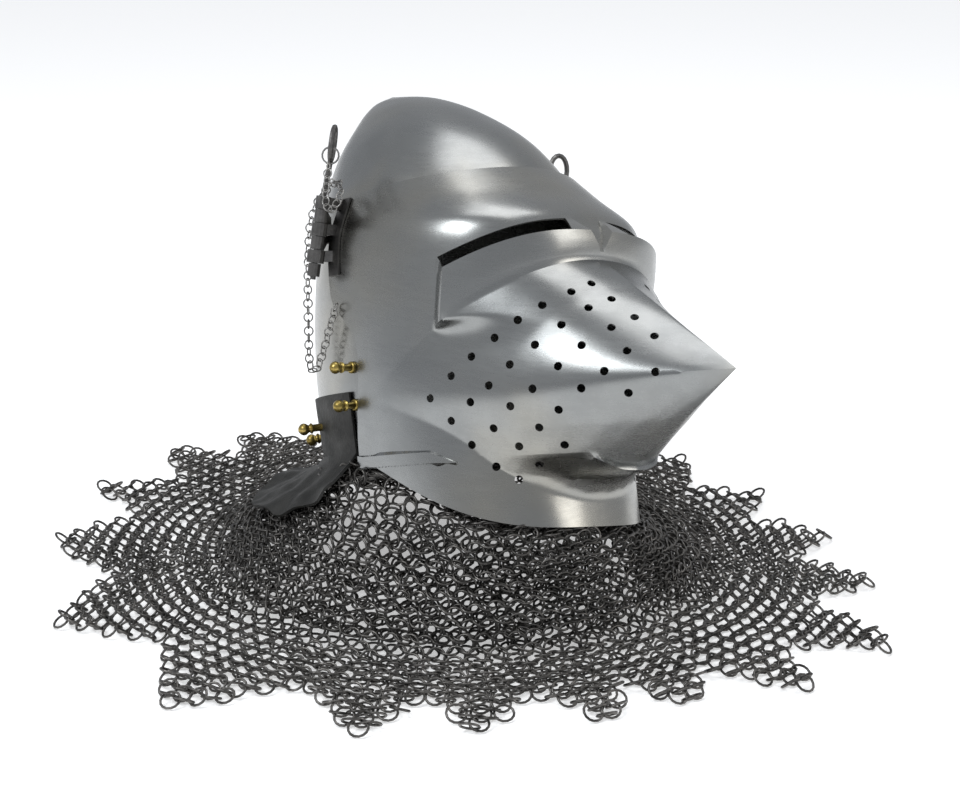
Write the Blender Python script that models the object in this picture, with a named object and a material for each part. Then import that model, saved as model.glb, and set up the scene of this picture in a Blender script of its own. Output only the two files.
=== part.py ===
"""A hounskull bascinet: pointed skull, side-hinged visor with a pointed snout, and a mail aventail.

The helmet lies on its spread aventail, nose up and leaning to the wearer's left. Its pieces are
modelled in the helmet's own frame: x runs forward to the snout, y to the wearer's left and z up.
Sizes are in millimetres, and the meshes are scaled to metres as they are made.
"""
import math

import bmesh
import bpy
from mathutils import Matrix, Vector

MM = 0.001
GAP = 0.4
ROUND_SIDES = 14
SHARP_DEGREES = 35.0

# The helmet's place on the floor
HEADING = 40.9
NOSE_UP = 17.96
LEAN_LEFT = 12.97
HELMET_PLACE = (13.1, -33.2, 23.1)

# The skull
SKULL_APEX_Z = 319.0
SKULL_APEX_X = -68.5
SKULL_HALF_WIDTH = 94.0
SKULL_FRONT = 94.0
SKULL_BACK = 114.0
SKULL_RIM_Z = 58.0
SKULL_WALL = 1.6
SKULL_COLUMNS = 32
SKULL_ROWS = 12
SKULL_ROW_BEND = 1.55
SKULL_TIP_DROP = 0.4
FACE_BROW_Z = 209.0
FACE_EDGE_X = 13.0
FACE_DEPTH = 75.0
FACE_BROW_RISE = 0.04
FACE_CUT_MARGIN = 30.0

# The visor
VISOR_HALF_WIDTH = 99.0
VISOR_FRONT = 123.0
VISOR_WALL = 1.6
VISOR_CENTRE_X = -12.0
VISOR_TOP_Z = 245.0
VISOR_REAR_X = -25.0
BROW_Z = 204.0
LIP_Z = 194.6
SLIT_ENDS_AT_BROW = (5.9, 58.7, 60.2)
SLIT_ENDS_AT_LIP = (8.4, 55.1, 58.7)
LIP_LIFT = 11.0
NOTCH_TOP_Z = 200.0
NOTCH_BOTTOM_Z = 181.0
NOTCH_HALF_WIDTH = 12.0
NOTCH_WALL = 0.8
NOTCH_FLOOR_LIFT = 0.9
NOTCH_SIDE_LIMIT = 0.75
NOTCH_FOOT_LIMIT = 0.85
BAND_BOTTOM_Z = 175.5
SNOUT_LENGTH = 131.0
SNOUT_TIP_Z = 96.0
SNOUT_HALF_WIDTH = 96.0
SNOUT_NARROWING = 11.0
SNOUT_NARROWING_DEPTH = 40.0
SNOUT_RISE = 80.0
SNOUT_FALL = 78.0
SNOUT_SWELL = 14.0
SNOUT_LEVELS_ABOVE = (2.2, 1.0)
SNOUT_LEVELS_BELOW = (2.0, 1.2)
SNOUT_CREASE_DEPTH = 5.0
SNOUT_CREASE_WIDTH = 14.0
SNOUT_CREASE_START = 4.0
MOUTH_Z = 42.0
CHIN_CREASE_Z = 19.0
CHIN_BOTTOM_Z = 4.0
FRONT_COLUMNS = 3
SLIT_COLUMNS = 8
REAR_COLUMNS = 5

# The breath holes, in lines that follow the band
BREATH_DIAMETER = 5.5
BREATH_SIDES = 6
BREATH_CUT = 9.0
PROBE_TURN = 0.05
PROBE_RISE = 3.0

# The hinges and the pivots, on the wearer's right and mirrored
HINGE_TOP = (-17.5, -107.5, 231.0)
HINGE_BOTTOM = (-27.4, -111.1, 178.0)
KNUCKLE_RADII = (5.0, 4.6, 5.3, 4.6, 5.9, 4.2)
KNUCKLES = len(KNUCKLE_RADII)
LEAF_THICKNESS = 1.6
LEAF_FOOT_LENGTH = 10.0
LEAF_FOOT_MARGIN = 1.5
WEB_PLACE = 0.6
PIVOT_X = -48.0
PIVOT_Z = 212.0
PIVOT_ARM_RADIUS = 9.0
PIVOT_STUD_RADIUS = 3.0
PIVOT_HEAD_RADIUS = 5.0
PIVOT_HEAD_HEIGHT = 1.8

# The pins with their eyes, rings and chains
PIN_RADIUS = 1.9
PIN_CLEARANCE = 0.4
PIN_EYE_CENTRE = (-8.5, -105.5, 265.0)
PIN_EYE_HALF_HEIGHT = 11.2
PIN_EYE_HALF_WIDTH = 6.2
PIN_EYE_TURN = 132.6
PIN_EYE_SHARE = 0.96
PIN_EYE_POINTS = 20
PIN_EYE_SIDES = 8
PIN_NECK_SHARE = 0.98
PIN_FOOT = 2.0
PIN_SIDES = 10
RING_RADIUS = 5.6
RING_WIRE_RADIUS = 0.65
RING_PLACE = -2.5
RING_REST = 2.2
RING_POINTS = 16
RING_SIDES = 6
CHAIN_RADIUS = 2.6
CHAIN_STEP = 8.0
ROUTE_FINENESS = 12

# The vervelles
VERVELLE_LENGTH = 19.0
VERVELLE_BALL_RADIUS = 4.2
VERVELLE_SIDES = 8
VERVELLE_HOLE_RADIUS = 4.4
VERVELLE_HOLE_DEPTH = 1.3
VERVELLE_HOLE_REACH = 6.7
VERVELLE_HOLE_SIDES = 10
VERVELLE_BACK = 180.0

# The leather band and its skirt
LEATHER_THICKNESS = 1.8
LEATHER_TOP_Z = 100.0
LEATHER_START_ANGLE = 91.5
LEATHER_COLUMNS = 26
LEATHER_SKIRT = 0.16
LEATHER_FLAP = 0.34
LEATHER_FLAP_ANGLE = 128.0
LEATHER_FLAP_WIDTH = 34.0
LEATHER_FOLD = 1.2
LEATHER_FOLDS = 12
LEATHER_SKIRT_START = 0.03
LEATHER_SKIRT_ROWS = 3

# The mail
MAIL_RADIUS = 300.0
MAIL_THICKNESS = 4.0
MAIL_FOOT_RADIUS = 190.0
MAIL_VALLEY = 0.81
MAIL_DROP = 6.4
MAIL_INWARD = 0.12
MAIL_SIDE_START = 90.0
MAIL_SIDE_WIDTH = 10.0
MAIL_MOUND_BEND = 1.5
MAIL_MOUND_ROWS = 4
MAIL_FLAT_ROWS = 2

SKULL_SECTIONS = (
    # height, half width, front and back, as shares of the skull's apex height, half width, front and back
    (0.063, 0.934, 0.927, 0.873),
    (0.188, 0.961, 0.949, 0.935),
    (0.364, 0.999, 0.981, 1.000),
    (0.558, 0.999, 1.004, 0.975),
    (0.721, 0.880, 0.878, 0.945),
    (0.831, 0.707, 0.600, 0.886),
    (0.909, 0.493, 0.235, 0.800),
    (0.972, 0.236, -0.240, 0.717),
    (1.000, 0.000, -0.729, 0.601),
)

FACE_EDGE = (
    # share of the face's depth forward of its rear edge, share of its height up from the rim
    (0.83, 1.00),
    (0.45, 0.90),
    (0.19, 0.72),
    (0.04, 0.48),
    (0.00, 0.20),
)

VISOR_SECTIONS = (
    # height, half width and front, as shares of the skull's apex height and the visor's half width
    # and front, and the section's squareness
    (-0.02, 0.875, 0.990, 2.7),
    (0.188, 0.940, 0.911, 2.7),
    (0.364, 0.990, 0.911, 2.6),
    (0.558, 1.000, 1.000, 2.75),
    (0.640, 0.980, 0.975, 2.75),
    (0.708, 0.894, 0.793, 2.35),
    (0.780, 0.795, 0.590, 2.05),
)

VISOR_REAR_EDGE = (
    # height as a share of the visor's top, and how much the rear edge is cut forward of its hindmost
    (0.016, 0.68),
    (0.265, 0.68),
    (0.408, 0.92),
    (0.520, 1.00),
    (0.590, 0.62),
    (0.670, 0.02),
    (1.000, 0.00),
)

VISOR_ROWS = (
    # name, height in front, drop to the side, bend, reach to its full drop, lift, angle over which the lift
    # fades, share of the snout in front and at the side, angle where the side begins, rows down to the next
    ("top edge", VISOR_TOP_Z, 12.0, 1.3, 1.0, 0.0, 3.6, 0.0, 0.0, 90.0, 1),
    ("forehead", VISOR_TOP_Z - 13.0, 22.0, 1.5, 1.0, 0.0, 3.6, 0.0, 0.0, 90.0, 1),
    ("above brow", BROW_Z + 13.0, 34.0, 1.6, 1.0, 0.0, 3.6, 0.0, 0.0, 90.0, 1),
    ("brow", BROW_Z, 49.5, 1.7, 1.0, 0.0, 3.6, 0.0, 0.0, 90.0, 1),
    ("lip", LIP_Z, 61.0, 2.0, 1.0, 1.0, 3.6, 0.0, 0.0, 90.0, 1),
    ("notch bottom", NOTCH_BOTTOM_Z, 50.7, 1.6, 1.0, 0.97, 3.6, 0.0, 0.0, 90.0, 1),
    ("band bottom", BAND_BOTTOM_Z, 48.5, 1.6, 0.72, 0.9, 3.6, 1.0, 1.0, 90.0, 6),
    ("snout tip", SNOUT_TIP_Z, 0.0, 2.0, 1.0, 0.0, 70.0, 1.0, 1.0, 90.0, 4),
    ("mouth", MOUTH_Z, -10.0, 2.0, 0.16, 0.0, 70.0, 1.0, 1.0, 90.0, 1),
    ("mouth lip", MOUTH_Z - 3.5, -12.0, 2.0, 0.16, 0.0, 70.0, 1.2, 1.0, 14.4, 1),
    ("under mouth", MOUTH_Z - 8.0, -14.0, 1.5, 0.55, 0.0, 70.0, 0.35, 1.0, 40.0, 1),
    ("chin crease", CHIN_CREASE_Z, -38.0, 1.4, 0.72, 0.0, 70.0, 0.0, 0.0, 90.0, 1),
    ("bottom edge", CHIN_BOTTOM_Z, -52.0, 3.0, 1.0, 0.0, 70.0, 0.0, 0.0, 90.0, 1),
)

BREATH_HOLES = (
    # angle from the front in degrees and height of each hole, in lines down from the band
    (8.8, 157.5), (16.0, 152.0), (25.9, 143.9), (34.2, 135.2),
    (42.1, 125.1), (50.1, 114.5), (57.2, 103.3), (64.4, 90.2),
    (7.4, 146.3), (14.7, 140.8), (24.0, 130.5), (32.8, 118.8),
    (40.7, 107.5), (47.3, 95.3), (52.3, 85.7), (56.3, 74.9),
    (6.3, 133.2), (13.1, 127.0), (22.4, 116.5), (29.9, 104.2),
    (36.5, 91.2), (41.1, 81.4), (43.2, 68.4), (47.3, 59.0),
    (5.9, 120.0), (13.6, 111.3), (20.6, 99.2), (25.4, 89.5),
    (28.6, 77.3), (31.2, 67.2), (33.9, 56.3), (37.9, 44.5),
    (10.9, 96.8), (14.7, 85.0), (22.0, 55.7), (24.4, 44.4), (29.3, 35.6),
)

CHAIN_ROUTE = (
    # forward, to the wearer's left, up
    (-7.9, -110.3, 249.2),
    (-9.0, -111.5, 238.0),
    (-9.5, -112.5, 227.0),
    (-7.0, -111.0, 219.5),
    (-4.0, -107.0, 225.0),
    (-6.0, -102.5, 232.0),
    (-11.0, -99.0, 239.0),
    (-18.0, -98.0, 241.0),
    (-27.0, -97.0, 238.0),
    (-35.0, -101.5, 226.0),
    (-39.5, -103.0, 212.0),
    (-40.5, -104.5, 194.0),
    (-40.3, -105.5, 180.0),
    (-43.0, -104.0, 164.0),
    (-46.5, -101.5, 144.0),
    (-48.3, -100.5, 127.0),
    (-46.0, -100.5, 117.5),
    (-39.5, -100.5, 118.5),
    (-31.5, -100.5, 131.0),
    (-23.0, -101.5, 145.0),
    (-15.0, -103.0, 156.5),
)

VERVELLES = (
    # angle from the front in degrees, height as a share of the leather's top
    (89.6, 1.16),
    (89.6, 0.91),
    (120.0, 0.80),
    (150.0, 0.76),
    (180.0, 0.76),
)

VERVELLE_PROFILE = (
    # share of the length out from the skull, share of the ball's radius
    (0.00, 0.95),
    (0.10, 0.95),
    (0.13, 0.62),
    (0.46, 0.62),
    (0.52, 0.88),
    (0.58, 0.62),
    (0.68, 0.82),
    (0.78, 1.00),
    (0.91, 0.78),
    (1.00, 0.25),
)

DAGS = (
    # bearing of the tip in degrees, its reach as a share of the mail's radius
    (3.4, 0.93),
    (22.9, 0.86),
    (44.7, 0.87),
    (64.0, 0.94),
    (84.0, 0.985),
    (105.0, 0.985),
    (126.6, 0.995),
    (138.6, 1.05),
    (156.6, 1.00),
    (177.6, 0.98),
    (207.0, 1.00),
    (235.9, 1.02),
    (259.0, 1.00),
    (273.3, 0.98),
    (289.5, 0.985),
    (300.5, 1.00),
    (313.8, 1.07),
    (329.1, 1.12),
    (347.2, 0.98),
)


def ease(share):
    share = min(max(share, 0.0), 1.0)
    return share * share * (3.0 - 2.0 * share)


def smooth(table, column, at):
    """Reads one column of a table of sections through a smooth curve."""
    last = len(table) - 1
    index = 0
    while index < last - 1 and at > table[index + 1][0]:
        index += 1
    rows = [table[min(max(index + step, 0), last)] for step in (-1, 0, 1, 2)]
    span = rows[2][0] - rows[1][0]
    share = min(max((at - rows[1][0]) / span, 0.0), 1.0)
    slope_in = (rows[2][column] - rows[0][column]) / (rows[2][0] - rows[0][0]) * span
    slope_out = (rows[3][column] - rows[1][column]) / (rows[3][0] - rows[1][0]) * span
    cube = share ** 3
    square = share ** 2
    return (
        (2 * cube - 3 * square + 1) * rows[1][column]
        + (cube - 2 * square + share) * slope_in
        + (3 * square - 2 * cube) * rows[2][column]
        + (cube - square) * slope_out
    )


def power(value, exponent):
    return math.copysign(abs(value) ** exponent, value)


# Materials and mesh helpers

def material(name, colour, metallic, roughness):
    made = bpy.data.materials.new(name)
    made.use_nodes = True
    shader = made.node_tree.nodes["Principled BSDF"]
    shader.inputs["Base Color"].default_value = (*colour, 1.0)
    shader.inputs["Metallic"].default_value = metallic
    shader.inputs["Roughness"].default_value = roughness
    return made


def mesh_object(name, points, faces, finish, parent, sharp_degrees=SHARP_DEGREES):
    mesh = bpy.data.meshes.new(name)
    mesh.from_pydata([[value * MM for value in point] for point in points], [], faces)
    mesh.update()
    mesh.shade_smooth()
    mesh.set_sharp_from_angle(angle=math.radians(sharp_degrees))
    made = bpy.data.objects.new(name, mesh)
    if finish:
        mesh.materials.append(finish)
    bpy.context.scene.collection.objects.link(made)
    made.parent = parent
    return made


def bmesh_object(name, shape, finish, parent):
    """Turns a bmesh in millimetres into an object."""
    bmesh.ops.scale(shape, vec=(MM, MM, MM), verts=shape.verts)
    bmesh.ops.recalc_face_normals(shape, faces=shape.faces)
    mesh = bpy.data.meshes.new(name)
    shape.to_mesh(mesh)
    shape.free()
    mesh.shade_smooth()
    mesh.set_sharp_from_angle(angle=math.radians(SHARP_DEGREES))
    made = bpy.data.objects.new(name, mesh)
    if finish:
        mesh.materials.append(finish)
    bpy.context.scene.collection.objects.link(made)
    made.parent = parent
    return made


def add_cylinder(shape, start, end, radius, sides):
    along = end - start
    turn = along.to_track_quat("Z", "Y").to_matrix().to_4x4()
    place = Matrix.Translation((start + end) / 2.0) @ turn
    bmesh.ops.create_cone(
        shape, cap_ends=True, segments=sides, radius1=radius, radius2=radius, depth=along.length, matrix=place
    )


def add_prism(shape, outline, depth):
    """A flat outline of points thickened along the depth vector."""
    near = [shape.verts.new(point) for point in outline]
    far = [shape.verts.new(point + depth) for point in outline]
    shape.faces.new(near)
    shape.faces.new(far)
    for index, vertex in enumerate(near):
        after = (index + 1) % len(near)
        shape.faces.new((vertex, near[after], far[after], far[index]))


def add_loop(shape, centre, across, up, wire_radius, points, sides):
    """A closed loop of round wire, on an oval of two half axes given as vectors."""
    normal = across.cross(up).normalized()
    rings = []
    for step in range(points):
        turn = 2.0 * math.pi * step / points
        middle = centre + across * math.cos(turn) + up * math.sin(turn)
        tangent = (up * math.cos(turn) - across * math.sin(turn)).normalized()
        outward = tangent.cross(normal)
        ring = []
        for side in range(sides):
            roll = 2.0 * math.pi * side / sides
            offset = outward * math.cos(roll) + normal * math.sin(roll)
            ring.append(shape.verts.new(middle + offset * wire_radius))
        rings.append(ring)
    for index, ring in enumerate(rings):
        after = rings[(index + 1) % points]
        for side in range(sides):
            other = (side + 1) % sides
            shape.faces.new((ring[side], ring[other], after[other], after[side]))


def smooth_route(points, step):
    """Points at an even step along a smooth curve through the route's own points."""
    fine = []
    count = len(points)
    for index in range(count - 1):
        before, start, end, after = (points[min(max(index + shift, 0), count - 1)] for shift in (-1, 0, 1, 2))
        for part in range(ROUTE_FINENESS):
            share = part / ROUTE_FINENESS
            fine.append(
                0.5 * (
                    2.0 * start + (end - before) * share
                    + (2.0 * before - 5.0 * start + 4.0 * end - after) * share ** 2
                    + (3.0 * start - before - 3.0 * end + after) * share ** 3
                )
            )
    fine.append(points[-1])
    lengths = [0.0]
    for start, end in zip(fine, fine[1:]):
        lengths.append(lengths[-1] + (end - start).length)
    spans = max(round(lengths[-1] / step), 1)
    even = []
    index = 0
    for part in range(spans + 1):
        target = lengths[-1] * part / spans
        while index < len(lengths) - 2 and lengths[index + 1] < target:
            index += 1
        share = (target - lengths[index]) / (lengths[index + 1] - lengths[index])
        even.append(fine[index].lerp(fine[index + 1], share))
    return even


def hide_cutter(made):
    made.hide_render = True
    made.display_type = "WIRE"
    return made


def boolean(target, tool, operation):
    modifier = target.modifiers.new(tool.name, "BOOLEAN")
    modifier.operation = operation
    modifier.object = tool


def solidify(target, thickness):
    modifier = target.modifiers.new("wall", "SOLIDIFY")
    modifier.thickness = thickness * MM
    modifier.offset = -1.0
    modifier.use_rim = True


def grid_faces(rows, columns, closed, keep=None):
    faces = []
    spans = columns if closed else columns - 1
    for row in range(rows - 1):
        for column in range(spans):
            after = (column + 1) % columns
            if keep is None or keep(row, column):
                faces.append((
                    row * columns + column,
                    (row + 1) * columns + column,
                    (row + 1) * columns + after,
                    row * columns + after,
                ))
    return faces


# The skull

def skull_point(height, angle, out=0.0):
    """A point of the skull's outside at a height, angle from the front in radians, moved out."""
    share = height / SKULL_APEX_Z
    half_width = smooth(SKULL_SECTIONS, 1, share) * SKULL_HALF_WIDTH
    front = smooth(SKULL_SECTIONS, 2, share) * SKULL_FRONT
    back = -smooth(SKULL_SECTIONS, 3, share) * SKULL_BACK
    centre = (front + back) / 2.0
    reach = (front - back) / 2.0 + out
    return (centre + reach * math.cos(angle), (half_width + out) * math.sin(angle), height)


def skull_half_width_at(x, height):
    """The skull's half width at a place forward and a height."""
    front = skull_point(height, 0.0)[0]
    back = skull_point(height, math.pi)[0]
    side = skull_point(height, math.pi / 2)[1]
    share = (x - (front + back) / 2) / ((front - back) / 2)
    return side * math.sqrt(max(1.0 - share * share, 0.0))


def make_skull(finish, parent):
    points = []
    for row in range(SKULL_ROWS):
        share = row / (SKULL_ROWS - 1)
        height = SKULL_APEX_Z - SKULL_TIP_DROP - (SKULL_APEX_Z - SKULL_RIM_Z) * share ** SKULL_ROW_BEND
        if row == SKULL_ROWS - 1:
            height = SKULL_RIM_Z
        for column in range(SKULL_COLUMNS):
            points.append(skull_point(height, 2 * math.pi * column / SKULL_COLUMNS))
    faces = grid_faces(SKULL_ROWS, SKULL_COLUMNS, True)
    apex = len(points)
    points.append((SKULL_APEX_X, 0.0, SKULL_APEX_Z))
    for column in range(SKULL_COLUMNS):
        faces.append((apex, column, (column + 1) % SKULL_COLUMNS))
    skull = mesh_object("skull", points, faces, finish, parent)
    solidify(skull, SKULL_WALL)
    boolean(skull, make_face_cutter(parent), "DIFFERENCE")
    return skull


def make_face_cutter(parent):
    """The outline of the face opening from the side, as a block right through the skull."""
    reach = SKULL_FRONT + FACE_CUT_MARGIN
    rise = FACE_BROW_Z - SKULL_RIM_Z
    outline = [(reach, SKULL_RIM_Z - FACE_CUT_MARGIN), (reach, FACE_BROW_Z + rise * FACE_BROW_RISE)]
    outline += [
        (FACE_EDGE_X + FACE_DEPTH * forward, SKULL_RIM_Z + rise * up)
        for forward, up in FACE_EDGE
    ]
    outline.append((FACE_EDGE_X, SKULL_RIM_Z - FACE_CUT_MARGIN))
    side = SKULL_HALF_WIDTH + FACE_CUT_MARGIN
    count = len(outline)
    points = [(x, -side, z) for x, z in outline] + [(x, side, z) for x, z in outline]
    faces = [tuple(range(count)), tuple(range(2 * count - 1, count - 1, -1))]
    for index in range(count):
        after = (index + 1) % count
        faces.append((index, index + count, after + count, after))
    return hide_cutter(mesh_object("face_cutter", points, faces, None, parent))


# The visor

def visor_plan(height):
    """The visor's half width, front reach and squareness at a height."""
    share = height / SKULL_APEX_Z
    half_width = smooth(VISOR_SECTIONS, 1, share) * VISOR_HALF_WIDTH
    front = smooth(VISOR_SECTIONS, 2, share) * VISOR_FRONT
    squareness = smooth(VISOR_SECTIONS, 3, share)
    return half_width, front, squareness


def visor_rear(height):
    """How far forward the visor's rear edge is at a height."""
    return VISOR_REAR_X * (1.0 - smooth(VISOR_REAR_EDGE, 1, height / VISOR_TOP_Z))


def snout_inside(across, up, level):
    """How far a place is inside the snout's outline, from 0 at its foot to 1 at its tip."""
    return max(1.0 - (abs(across) ** level + abs(up) ** level) ** (1.0 / level), 0.0)


def snout(y, height):
    """How far the snout stands out of the visor's plan, with a crease down its top."""
    above = height > SNOUT_TIP_Z
    reach = SNOUT_RISE if above else SNOUT_FALL
    base_level, tip_level = SNOUT_LEVELS_ABOVE if above else SNOUT_LEVELS_BELOW
    half_width = SNOUT_HALF_WIDTH - SNOUT_NARROWING * ease((SNOUT_TIP_Z - height) / SNOUT_NARROWING_DEPTH)
    inside = snout_inside(y / half_width, (height - SNOUT_TIP_Z) / reach, base_level)
    level = base_level + (tip_level - base_level) * inside
    inside = snout_inside(y / half_width, (height - SNOUT_TIP_Z) / reach, level)
    crease = SNOUT_CREASE_DEPTH * math.tanh(abs(y) / SNOUT_CREASE_WIDTH)
    crease *= min(inside * SNOUT_CREASE_START, 1.0)
    if not above:
        crease *= max(1.0 - (SNOUT_TIP_Z - height) / SNOUT_CREASE_WIDTH / 2.0, 0.0)
    return max(SNOUT_LENGTH * inside + SNOUT_SWELL * inside * inside * (1.0 - inside) - crease, 0.0)


def notch_edge(height):
    """The half width of the notch between the slits at a height, which stays small below it."""
    share = (height - NOTCH_BOTTOM_Z) / (NOTCH_TOP_Z - NOTCH_BOTTOM_Z)
    return NOTCH_HALF_WIDTH * min(max(share, 0.1), 1.0)


def visor_shell(height, angle, lift, fade, snout_share):
    """A point of the visor's outside, lifted by the band under the slits and drawn out by the snout."""
    half_width, front, squareness = visor_plan(height)
    x = VISOR_CENTRE_X + (front - VISOR_CENTRE_X) * power(math.cos(angle), 2.0 / squareness)
    y = half_width * power(math.sin(angle), 2.0 / squareness)
    if NOTCH_BOTTOM_Z < height < BROW_Z and abs(y) < notch_edge(height) + NOTCH_WALL / 2.0:
        lift = NOTCH_FLOOR_LIFT * max(NOTCH_TOP_Z - height, 0.0) / (NOTCH_TOP_Z - NOTCH_BOTTOM_Z)
    out = LIP_LIFT * lift * ease((SLIT_ENDS_AT_LIP[2] - math.degrees(abs(angle))) / fade)
    x += out * math.cos(angle) + snout(y, height) * snout_share
    y += out * math.sin(angle)
    return Vector((x, y, height))


def visor_rows():
    """The rows down the visor: a named row, the one below it, and how far the row is between them."""
    rows = []
    for index, upper in enumerate(VISOR_ROWS):
        lower = VISOR_ROWS[min(index + 1, len(VISOR_ROWS) - 1)]
        rows += [(upper, lower, step / upper[10]) for step in range(upper[10])]
    return rows


def visor_row_height(row, angle):
    share = min(abs(angle) / (math.pi / 2.0) / row[4], 1.0)
    return row[1] - row[2] * share ** row[3]


def visor_column_angle(height, y):
    """The angle at which the visor's plan is y wide of its middle."""
    half_width, front, squareness = visor_plan(height)
    return math.asin((y / half_width) ** (squareness / 2.0))


def slit_ends(row):
    """The angles of a row's marks: the slit's inner and outer end and the band's end, in radians."""
    upper, lower, share = row
    marks = [SLIT_ENDS_AT_BROW if mark[1] >= BROW_Z else SLIT_ENDS_AT_LIP for mark in (upper, lower)]
    return [math.radians(start + (end - start) * share) for start, end in zip(*marks)]


def visor_rear_angle(row):
    height = visor_row_point(row, math.pi / 2.0).z
    front, squareness = visor_plan(height)[1:]
    along = (visor_rear(height) - VISOR_CENTRE_X) / (front - VISOR_CENTRE_X)
    return math.acos(power(along, squareness / 2.0))


def visor_angles(row):
    """The angles of one row's columns from the front to the rear edge, in radians."""
    height = visor_row_point(row, 0.0).z
    edge = notch_edge(height)
    inner, outer, band_end = slit_ends(row)
    foot = min(visor_column_angle(height, edge + NOTCH_WALL), NOTCH_FOOT_LIMIT * inner)
    angles = [0.0, min(visor_column_angle(height, edge), NOTCH_SIDE_LIMIT * inner), foot]
    rear = visor_rear_angle(row)
    angles += [inner + (outer - inner) * step / SLIT_COLUMNS for step in range(SLIT_COLUMNS + 1)]
    angles += [band_end + (rear - band_end) * step / REAR_COLUMNS for step in range(REAR_COLUMNS + 1)]
    return angles


def visor_row_point(row, angle):
    upper, lower, share = row
    ends = []
    for mark in (upper, lower):
        lift, fade, front_share, side_share, side_angle = mark[5:10]
        at_side = ease(2.0 * math.degrees(abs(angle)) / side_angle - 1.0)
        snout_share = front_share + (side_share - front_share) * at_side
        ends.append((visor_row_height(mark, angle), lift, fade, snout_share))
    height, lift, fade, snout_share = (start + (end - start) * share for start, end in zip(*ends))
    return visor_shell(height, angle, lift, fade, snout_share)


def visor_point(height, angle):
    """The point of the visor's outside at a height and an angle."""
    for upper, lower in zip(VISOR_ROWS, VISOR_ROWS[1:]):
        above = visor_row_height(upper, angle)
        below = visor_row_height(lower, angle)
        if below <= height:
            return visor_row_point((upper, lower, (above - height) / (above - below)), angle)
    return visor_row_point((lower, lower, 0.0), angle)


def make_visor(finish, parent):
    rows = visor_rows()
    points = []
    for row in rows:
        angles = visor_angles(row)
        for angle in [-angle for angle in reversed(angles[1:])] + angles:
            points.append(visor_row_point(row, angle))
    middle = FRONT_COLUMNS + SLIT_COLUMNS + REAR_COLUMNS + 1

    def keep(row, column):
        away = column - middle if column >= middle else middle - 1 - column
        return rows[row][0][0] != "brow" or not FRONT_COLUMNS <= away < FRONT_COLUMNS + SLIT_COLUMNS

    faces = grid_faces(len(rows), 2 * middle + 1, False, keep)
    visor = mesh_object("visor", points, faces, finish, parent)
    solidify(visor, VISOR_WALL)
    boolean(visor, make_breath_cutter(parent), "DIFFERENCE")
    return visor


def breath_holes():
    """The middle and outward direction of each breath hole of the wearer's left side."""
    holes = []
    for angle, height in BREATH_HOLES:
        turn = math.radians(angle)
        middle = visor_point(height, turn)
        across = visor_point(height, turn + PROBE_TURN) - visor_point(height, turn - PROBE_TURN)
        down = visor_point(height - PROBE_RISE, turn) - visor_point(height + PROBE_RISE, turn)
        holes.append((middle, down.cross(across).normalized()))
    return holes


def make_breath_cutter(parent):
    cutters = bmesh.new()
    for middle, outward in breath_holes():
        for side in (1.0, -1.0):
            place = Vector((middle.x, middle.y * side, middle.z))
            aim = Vector((outward.x, outward.y * side, outward.z))
            start = place - aim * BREATH_CUT
            end = place + aim * BREATH_CUT
            add_cylinder(cutters, start, end, BREATH_DIAMETER / 2.0, BREATH_SIDES)
    return hide_cutter(bmesh_object("breath_cutter", cutters, None, parent))


# The hinges, pins, rings and chains, made for the wearer's right side and mirrored

def mirrored(point, side):
    """A point of the wearer's right side, or its mirror image on the left when side is -1."""
    return Vector((point[0], point[1] * side, point[2]))


def side_point(x, height, out):
    """A point beside the visor's outside, on the wearer's right."""
    return Vector((x, -visor_plan(height)[0] - out, height))


def hinge_axis():
    """The top and the bottom of the hinge's barrel."""
    return Vector(HINGE_TOP), Vector(HINGE_BOTTOM)


def knuckle_cylinders(first, extra, side):
    """Every second knuckle of the barrel, as cylinders that are larger by the extra."""
    top, bottom = hinge_axis()
    along = (bottom - top) / KNUCKLES
    trim = along.normalized() * (GAP / 2.0 - extra)
    shape = bmesh.new()
    for index in range(first, KNUCKLES, 2):
        start = mirrored(top + along * index + trim, side)
        end = mirrored(top + along * (index + 1) - trim, side)
        add_cylinder(shape, start, end, KNUCKLE_RADII[index] + extra, ROUND_SIDES)
    return shape


def pin_hole(side):
    top, bottom = hinge_axis()
    along = (bottom - top).normalized() * KNUCKLE_RADII[0]
    shape = bmesh.new()
    start = mirrored(top - along, side)
    add_cylinder(shape, start, mirrored(bottom + along, side), PIN_RADIUS + PIN_CLEARANCE, ROUND_SIDES)
    return shape


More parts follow.
